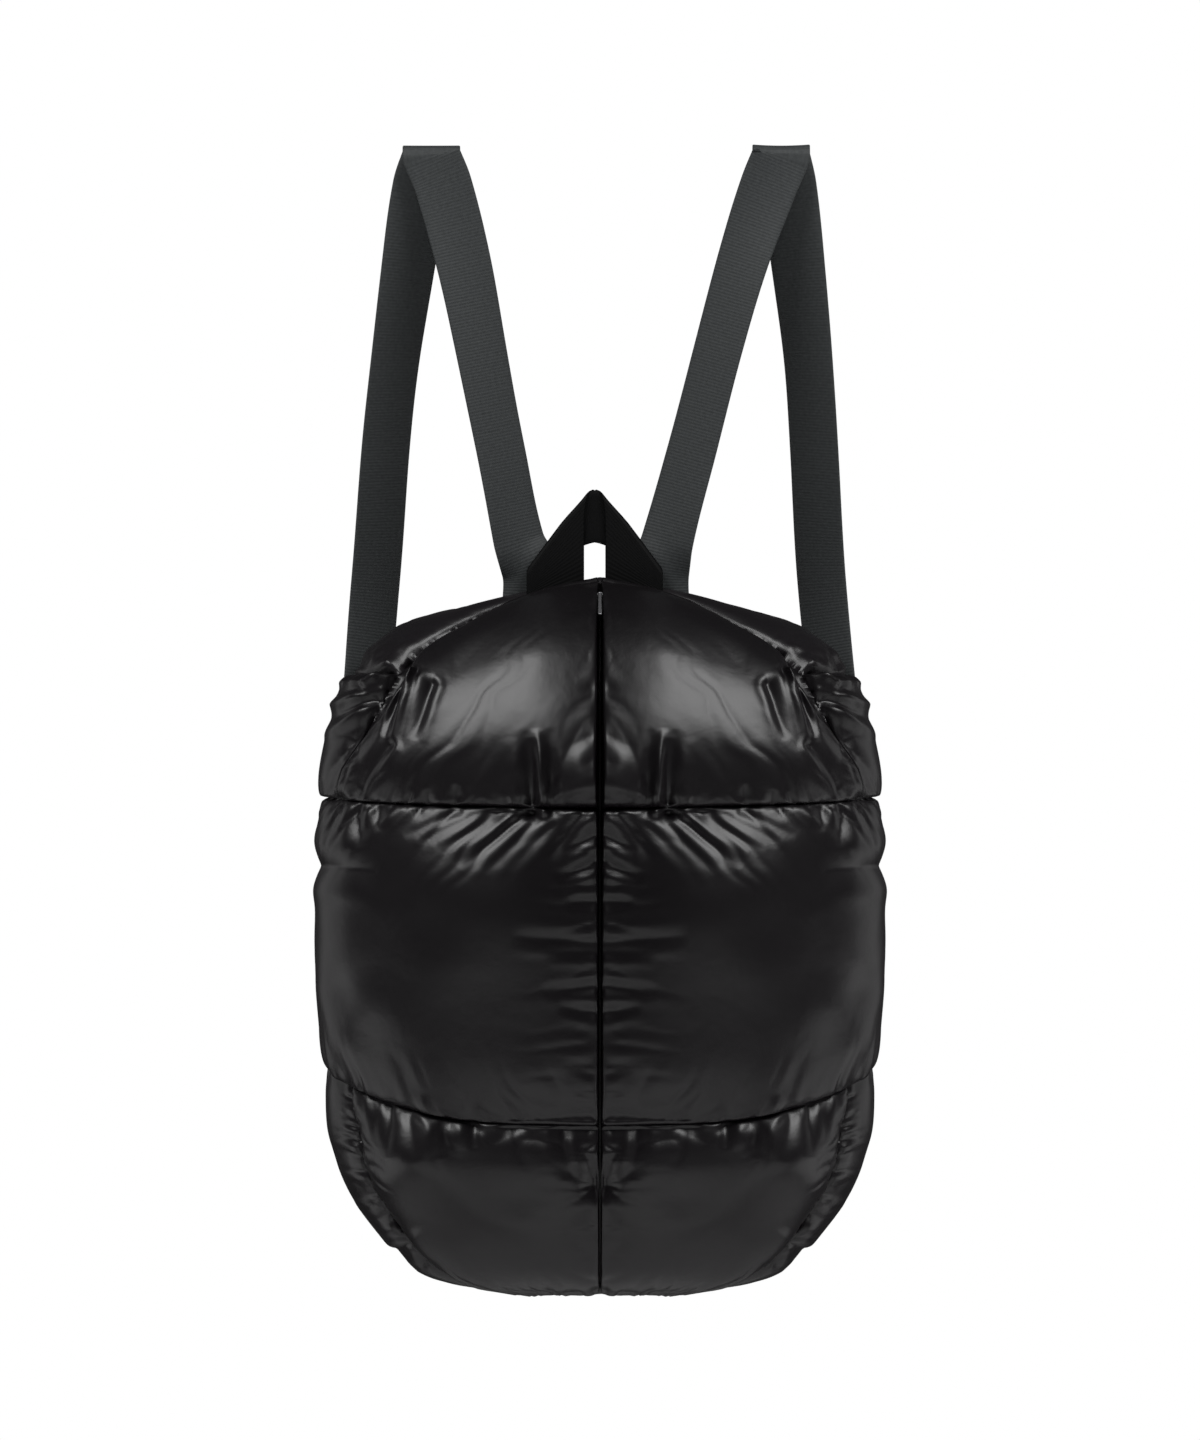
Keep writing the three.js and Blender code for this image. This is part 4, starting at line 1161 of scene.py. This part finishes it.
def zip_chain():
    """The zip's tape, sunk between the panels, with its two interlocked rows of coil."""
    length = zip_route()[1][-1]
    stations = np.linspace(TAPE_START, length - TAPE_END, TAPE_CELLS)
    place, _, out = on_zip(stations)
    half = TAPE_WIDTH / 2
    thick = TAPE_THICKNESS / 2
    across = np.array([-half, half, half, -half, -half])
    through = np.array([-thick, -thick, thick, thick, -thick])
    points = place[:, None, :] + out[:, None, :] * (through - TAPE_DEPTH)[None, :, None]
    points[..., 0] += across
    bm = skinned(points, stations, across)
    count = int((length - COIL_START - COIL_END) / (COIL_PITCH / 2))
    place, along, out = on_zip(COIL_START + np.arange(count) * COIL_PITCH / 2)
    size = Matrix.Diagonal((COIL_WIDTH * TOOTH, COIL_WIRE * TOOTH, COIL_WIRE, 1))
    for index in range(count):
        side = 1 if index % 2 else -1
        made = bmesh.ops.create_cube(bm, size=1)
        spot = place[index] - out[index] * COIL_DEPTH
        spot[0] += side * COIL_WIDTH * TOOTH_SHIFT
        turn = upright_on_zip(spot, along[index], out[index])
        bmesh.ops.transform(bm, matrix=turn @ size, verts=made["verts"])
    return bm


def round_edges(bm, edges, reach):
    bmesh.ops.bevel(
        bm, geom=edges, offset=reach, segments=3, profile=0.5, affect="EDGES", material=-1)


def zip_slider():
    """The slider's body with the bail that carries the puller."""
    bm = bmesh.new()
    made = bmesh.ops.create_cube(bm, size=1)
    bmesh.ops.scale(bm, vec=SLIDER_SIZE, verts=made["verts"])
    round_edges(bm, bm.edges[:], SLIDER_ROUNDING)
    ring = bmesh.ops.create_circle(bm, segments=12, radius=BAIL_WIRE)
    bmesh.ops.rotate(bm, matrix=Matrix.Rotation(math.pi / 2, 3, "Y"), verts=ring["verts"])
    bmesh.ops.rotate(bm, matrix=Matrix.Rotation(math.pi / 2, 3, "Z"), verts=ring["verts"])
    bmesh.ops.translate(bm, vec=(0, BAIL_RADIUS, BAIL_RISE), verts=ring["verts"])
    edges = list({edge for vert in ring["verts"] for edge in vert.link_edges})
    bmesh.ops.spin(bm, geom=edges, cent=(0, 0, BAIL_RISE), axis=(1, 0, 0), angle=math.pi, steps=14)
    return bm


def zip_puller():
    """A small eye that runs out into a straight narrow bar with a rounded end."""
    bm = bmesh.new()
    corner = math.asin(PULLER_HALF / PULLER_HEAD)
    outline = []
    for index in range(PULLER_SIDES // 2):
        turn = mix(corner, 2 * math.pi - corner, index / (PULLER_SIDES // 2 - 1))
        outline.append((PULLER_HEAD * math.sin(turn), -PULLER_HEAD * math.cos(turn)))
    for index in range(PULLER_SIDES // 2):
        turn = math.pi * index / (PULLER_SIDES // 2 - 1)
        low = PULLER_HALF - PULLER_LENGTH - PULLER_HALF * math.sin(turn)
        outline.append((-PULLER_HALF * math.cos(turn), low))
    eye = bmesh.ops.create_circle(bm, segments=PULLER_SIDES, radius=PULLER_EYE)
    rim = bmesh.ops.create_circle(bm, segments=PULLER_SIDES, radius=PULLER_HEAD)
    for vert, (right, up) in zip(rim["verts"], outline):
        vert.co = (right, up, 0)
    edges = list({edge for vert in eye["verts"] + rim["verts"] for edge in vert.link_edges})
    bmesh.ops.bridge_loops(bm, edges=edges)
    raised = bmesh.ops.extrude_face_region(bm, geom=bm.faces[:])
    verts = [item for item in raised["geom"] if isinstance(item, bmesh.types.BMVert)]
    bmesh.ops.translate(bm, vec=(0, 0, PULLER_THICKNESS), verts=verts)
    bmesh.ops.recalc_face_normals(bm, faces=bm.faces[:])
    round_edges(bm, [edge for edge in bm.edges if edge.calc_face_angle() > 1], PULLER_ROUNDING)
    return bm


def set_on_zip(bm, lift):
    """Stands a small piece on the zip at the slider's place."""
    length = zip_route()[1][-1]
    place, along, out = on_zip(np.array([length - SLIDER_FROM_TOP]))
    turn = upright_on_zip(place[0] + out[0] * lift, along[0], out[0])
    bmesh.ops.transform(bm, matrix=turn, verts=bm.verts[:])
    for face in bm.faces:
        face.smooth = True
    return bm


# Materials

RIB_PITCH = 2.1 * MM


def new_material(name):
    material = bpy.data.materials.new(name)
    material.use_nodes = True
    return material, material.node_tree, material.node_tree.nodes["Principled BSDF"]


def add_node(tree, kind, **settings):
    node = tree.nodes.new(kind)
    for key, value in settings.items():
        if key in node.inputs:
            node.inputs[key].default_value = value
        else:
            setattr(node, key, value)
    return node


def join(tree, *links):
    """Joins nodes: each link names a node, its output, the next node and its input."""
    for start, output, end, entry in links:
        tree.links.new(start.outputs[output], end.inputs[entry])


def two_tones(tree, tone, dark, light, shader):
    """Colours a shader between a dark and a light tone."""
    mixed = add_node(tree, "ShaderNodeMix", data_type="RGBA")
    mixed.inputs[6].default_value = (*dark, 1)
    mixed.inputs[7].default_value = (*light, 1)
    join(tree, (tone, "Fac", mixed, 0), (mixed, 2, shader, "Base Color"))


def shell_nylon(colours):
    """Glossy down-proof nylon: a fine plain weave and small crinkles."""
    material, tree, shader = new_material("shell nylon")
    shader.inputs["Roughness"].default_value = colours.nylon_roughness
    shader.inputs["Specular IOR Level"].default_value = 0.5
    place = add_node(tree, "ShaderNodeTexCoord")
    creased = add_node(tree, "ShaderNodeTexNoise", Scale=95.0, Detail=4.0, Roughness=0.55)
    crinkles = add_node(tree, "ShaderNodeBump", Strength=0.25, Distance=0.0009)
    weave = add_node(
        tree, "ShaderNodeTexWave", wave_type="BANDS", bands_direction="DIAGONAL", Scale=520.0)
    threads = add_node(tree, "ShaderNodeBump", Strength=0.06, Distance=0.0002)
    tone = add_node(tree, "ShaderNodeTexNoise", Scale=14.0, Detail=2.0)
    join(
        tree,
        (place, "Object", creased, "Vector"),
        (creased, "Fac", crinkles, "Height"),
        (place, "UV", weave, "Vector"),
        (weave, "Fac", threads, "Height"),
        (crinkles, "Normal", threads, "Normal"),
        (threads, "Normal", shader, "Normal"),
        (place, "Object", tone, "Vector"),
    )
    two_tones(tree, tone, colours.nylon_dark, colours.nylon_light, shader)
    return material


def ribbed_webbing(name, colours, dark, light, gloss):
    """Woven polyester webbing with fine ribs across it."""
    material, tree, shader = new_material(name)
    shader.inputs["Roughness"].default_value = colours.webbing_roughness
    shader.inputs["Specular IOR Level"].default_value = gloss
    place = add_node(tree, "ShaderNodeTexCoord")
    parted = add_node(tree, "ShaderNodeSeparateXYZ")
    ribs = add_node(tree, "ShaderNodeMath", operation="MULTIPLY")
    ribs.inputs[1].default_value = math.tau / RIB_PITCH
    wave = add_node(tree, "ShaderNodeMath", operation="SINE")
    bump = add_node(tree, "ShaderNodeBump", Strength=0.16, Distance=0.0003)
    speckle = add_node(tree, "ShaderNodeTexNoise", Scale=420.0, Detail=2.0)
    join(
        tree,
        (place, "UV", parted, 0),
        (parted, "Y", ribs, 0),
        (ribs, 0, wave, 0),
        (wave, 0, bump, "Height"),
        (bump, "Normal", shader, "Normal"),
        (place, "UV", speckle, "Vector"),
    )
    two_tones(tree, speckle, dark, light, shader)
    return material


def plain_material(name, colour, roughness, metallic=0.0):
    material, _, shader = new_material(name)
    shader.inputs["Base Color"].default_value = (*colour, 1)
    shader.inputs["Roughness"].default_value = roughness
    shader.inputs["Metallic"].default_value = metallic
    return material


def length_setting(name, description, default, least=0.0):
    return FloatProperty(
        name=name, description=description, default=default, min=least, unit="LENGTH")


def share_setting(name, description, default):
    return FloatProperty(
        name=name, description=description, default=default, min=0, max=1, subtype="FACTOR")


def colour_setting(name, description, *default):
    return FloatVectorProperty(
        name=name, description=description, default=default, subtype="COLOR", size=3, min=0, max=1)


class BackpackSizes(bpy.types.PropertyGroup):
    """Sizes of the backpack's soft parts"""

    webbing_step: length_setting(
        "Webbing step", "Length of one cell of the webbing", 1.5 * MM, 0.5 * MM)
    cloth_step: length_setting("Cloth step", "Width of one cell of the panels' cloth", 3.6 * MM, 2 * MM)
    start_swell: share_setting(
        "Starting swell", "Share of its crown that a panel has before it is filled", 0.8)
    filling: FloatProperty(
        name="Filling", description="Pressure of the filling on the cloth", default=4.0, min=0)
    filling_frames: IntProperty(
        name="Filling frames", description="Steps over which the panels are filled", default=24, min=1)
    filling_reach: length_setting("Filling reach", "Furthest that the filling moves the cloth", 14 * MM)
    stiffness: FloatProperty(
        name="Stiffness", description="How much the cloth resists bending", default=0.005, min=0)
    smoothing: IntProperty(
        name="Smoothing", description="Passes that take the finest ripples out of the filled cloth",
        default=10, min=0)
    crumple: length_setting("Crumple", "Height of the broad dents of the panels", 1.2 * MM)


class BackpackColours(bpy.types.PropertyGroup):
    """Colours and finishes of the backpack"""

    nylon_dark: colour_setting("Nylon, dark", "Darker tone of the shell", 0.0052, 0.0042, 0.0052)
    nylon_light: colour_setting("Nylon, light", "Lighter tone of the shell", 0.0085, 0.007, 0.0085)
    nylon_roughness: share_setting("Nylon roughness", "How blurred the shell's highlights are", 0.34)
    webbing_dark: colour_setting("Webbing, dark", "Darker tone of the webbing", 0.019, 0.0213, 0.022)
    webbing_light: colour_setting(
        "Webbing, light", "Lighter tone of the webbing", 0.047, 0.0515, 0.053)
    # Painted shade: the handle's tones are the strap webbing made many times darker, so the handle
    # looks shaded under any lamp.
    handle_painted_shade_dark: colour_setting(
        "Handle, dark", "Darker tone of the handle's webbing", 0.0008, 0.0008, 0.0009)
    handle_painted_shade_light: colour_setting(
        "Handle, light", "Lighter tone of the handle's webbing", 0.003, 0.003, 0.0032)
    webbing_roughness: share_setting(
        "Webbing roughness", "How blurred the webbing's highlights are", 0.6)
    zip_plastic: colour_setting("Zip plastic", "Colour of the zip's tape and coil", 0.008, 0.008, 0.008)
    zip_enamel: colour_setting("Zip enamel", "Colour of the slider and the puller", 0.3, 0.3, 0.31)


class BACKPACK_OT_panels(bpy.types.Operator):
    """Makes the padded panels of the bag"""

    bl_idname = "backpack.panels"
    bl_label = "Padded panels"

    def execute(self, context):
        sizes = context.scene.backpack_sizes
        nylon = shell_nylon(context.scene.backpack_colours)
        cloths = [
            panel_cloth(name, spec, sizes, seed)
            for seed, (name, spec) in enumerate(PANELS.items(), start=FIRST_SEED)
        ]
        fill_cloth(cloths, sizes)
        for seed, cloth in enumerate(cloths, start=FIRST_SEED):
            name = cloth["name"]
            bm = padded_panel(cloth, sizes, seed)
            made = {name: bm}
            if PANELS[name]["pair"]:
                made = {f"{name}_right": to_other_side(bm.copy()), f"{name}_left": bm}
            for node, panel in made.items():
                finish_object(f"padded_{node}", panel, nylon, [node])
        return {"FINISHED"}


class BACKPACK_OT_webbing(bpy.types.Operator):
    """Makes the two shoulder straps and the grab handle"""

    bl_idname = "backpack.webbing"
    bl_label = "Webbing"

    def execute(self, context):
        sizes = context.scene.backpack_sizes
        colours = context.scene.backpack_colours
        webbing = ribbed_webbing(
            "strap webbing", colours, colours.webbing_dark, colours.webbing_light, 0.35)
        # The handle gets a copy of the strap webbing that is much darker and less glossy; its darkness
        # is painted shade.
        darker = ribbed_webbing(
            "handle webbing", colours, colours.handle_painted_shade_dark, colours.handle_painted_shade_light, 0.12)
        left = shoulder_strap("left", sizes, LEFT_SEED)
        right = to_other_side(shoulder_strap("right", sizes, RIGHT_SEED))
        finish_object("strap_left", left, webbing, ["shoulder_strap_left"])
        finish_object("strap_right", right, webbing, ["shoulder_strap_right"])
        finish_object("handle", grab_handle(sizes), darker, ["grab_handle"])
        return {"FINISHED"}


class BACKPACK_OT_zip(bpy.types.Operator):
    """Makes the zip, with its slider and puller"""

    bl_idname = "backpack.zip"
    bl_label = "Zip"

    def execute(self, context):
        colours = context.scene.backpack_colours
        plastic = plain_material("zip plastic", colours.zip_plastic, 0.4)
        metal = plain_material("zip enamel", colours.zip_enamel, 0.25, 0.8)
        finish_object("zip_coil", zip_chain(), plastic, ["zip_chain"])
        slider = set_on_zip(zip_slider(), SLIDER_LIFT)
        finish_object("slider", slider, metal, ["zip_slider"])
        puller = set_on_zip(zip_puller(), PULLER_LIFT)
        finish_object("puller", puller, metal, ["zip_puller"])
        return {"FINISHED"}


# Stage

VIEW_HEIGHT = 950.4 * MM
VIEW_MIDDLE = 381.5 * MM - RAIL_HEIGHT
CAMERA_AWAY = 12.0
SENSOR = 36.0
FLOOR_RADIUS = 0.9
FLOOR_HEIGHT = -1.4
FLOOR_GREY = 0.86
AROUND = 0.03  # strength of the light from all round

# Each key light leaves the padded panels of the other half dark, as a flag between them would.
LIGHTS = make_table(
    "name place target wide high power dark_half",
    ("key_left", (-0.85, -0.95, 1.0), (-0.1, -0.1, -0.4), 1.0, 0.8, 19, "right"),
    ("key_right", (0.85, -0.95, 1.0), (0.1, -0.1, -0.4), 1.0, 0.8, 19, "left"),
    ("low_front", (0, -1.6, -1.35), (0, 0, -0.5), 2.6, 0.9, 5, None),
    ("low_left", (-1.6, -0.3, -1.2), (0, 0, -0.6), 1.7, 0.9, 5, None),
    ("low_right", (1.6, -0.3, -1.2), (0, 0, -0.6), 1.7, 0.9, 5, None),
    ("rim_left", (-1.5, 0.6, -0.2), (0, 0, -0.45), 1.1, 1.4, 2.8, None),
    ("rim_right", (1.5, 0.6, -0.2), (0, 0, -0.45), 1.1, 1.4, 2.8, None),
)


def lit_by(light, dark_half):
    lit = bpy.data.collections.new(f"lit by {light}")
    for piece in bpy.context.scene.objects:
        dark = piece.name.startswith("padded_") and piece.name.endswith(f"_{dark_half}")
        if piece.type == "MESH" and not dark:
            lit.objects.link(piece)
    return lit


def add_camera(scene):
    camera = bpy.data.cameras.new("camera")
    camera.sensor_width = SENSOR
    camera.lens = SENSOR * CAMERA_AWAY / VIEW_HEIGHT
    camera.clip_end = 50
    holder = bpy.data.objects.new("camera", camera)
    holder.location = (0, -CAMERA_AWAY, VIEW_MIDDLE)
    holder.rotation_euler = (math.pi / 2, 0, 0)
    scene.collection.objects.link(holder)
    scene.camera = holder


def add_floor(scene):
    bm = bmesh.new()
    bmesh.ops.create_circle(bm, cap_ends=True, segments=96, radius=FLOOR_RADIUS)
    bmesh.ops.translate(bm, vec=(0, 0, FLOOR_HEIGHT), verts=bm.verts[:])
    mesh = bpy.data.meshes.new("floor")
    bm.to_mesh(mesh)
    bm.free()
    floor = bpy.data.objects.new("floor", mesh)
    mesh.materials.append(plain_material("pale floor", [FLOOR_GREY] * 3, 0.9))
    scene.collection.objects.link(floor)


def add_light(scene, row):
    light = bpy.data.lights.new(row["name"], "AREA")
    light.shape = "RECTANGLE"
    light.size = row["wide"]
    light.size_y = row["high"]
    light.energy = row["power"]
    lamp = bpy.data.objects.new(row["name"], light)
    lamp.location = row["place"]
    aim = Vector(row["target"]) - Vector(row["place"])
    lamp.rotation_euler = aim.to_track_quat("-Z", "Y").to_euler()
    scene.collection.objects.link(lamp)
    if row["dark_half"]:
        lamp.light_linking.receiver_collection = lit_by(row["name"], row["dark_half"])


def add_world(scene):
    """A white background for the camera, with a faint light from all round."""
    world = bpy.data.worlds.new("studio")
    world.use_nodes = True
    tree = world.node_tree
    seen = tree.nodes["Background"]
    seen.inputs["Color"].default_value = (1, 1, 1, 1)
    around = add_node(tree, "ShaderNodeBackground", Strength=AROUND)
    around.inputs["Color"].default_value = (1, 1, 1, 1)
    ray = add_node(tree, "ShaderNodeLightPath")
    either = add_node(tree, "ShaderNodeMixShader")
    join(
        tree,
        (ray, "Is Camera Ray", either, 0),
        (around, 0, either, 1),
        (seen, 0, either, 2),
        (either, 0, tree.nodes["World Output"], "Surface"),
    )
    scene.world = world


class BACKPACK_OT_stage(bpy.types.Operator):
    """Sets the floor, the lights and the camera"""

    bl_idname = "backpack.stage"
    bl_label = "Stage"

    def execute(self, context):
        scene = context.scene
        scene.view_settings.view_transform = "Standard"
        add_camera(scene)
        add_floor(scene)
        for row in LIGHTS:
            add_light(scene, row)
        add_world(scene)
        return {"FINISHED"}


class BACKPACK_PT_panel(bpy.types.Panel):
    """Lists the backpack's pieces"""

    bl_idname = "BACKPACK_PT_panel"
    bl_label = "Backpack"
    bl_space_type = "VIEW_3D"
    bl_region_type = "UI"
    bl_category = "Backpack"

    def draw(self, context):
        for operator in OPERATORS:
            self.layout.operator(operator.bl_idname)


OPERATORS = (BACKPACK_OT_panels, BACKPACK_OT_webbing, BACKPACK_OT_zip, BACKPACK_OT_stage)
CLASSES = (BackpackSizes, BackpackColours, *OPERATORS, BACKPACK_PT_panel)


def register():
    for cls in CLASSES:
        bpy.utils.register_class(cls)
    bpy.types.Scene.backpack_sizes = PointerProperty(type=BackpackSizes)
    bpy.types.Scene.backpack_colours = PointerProperty(type=BackpackColours)


def unregister():
    del bpy.types.Scene.backpack_colours
    del bpy.types.Scene.backpack_sizes
    for cls in reversed(CLASSES):
        bpy.utils.unregister_class(cls)


def main():
    register()
    bpy.ops.backpack.panels()
    bpy.ops.backpack.webbing()
    bpy.ops.backpack.zip()
    bpy.ops.backpack.stage()


if __name__ == "__main__":
    main()
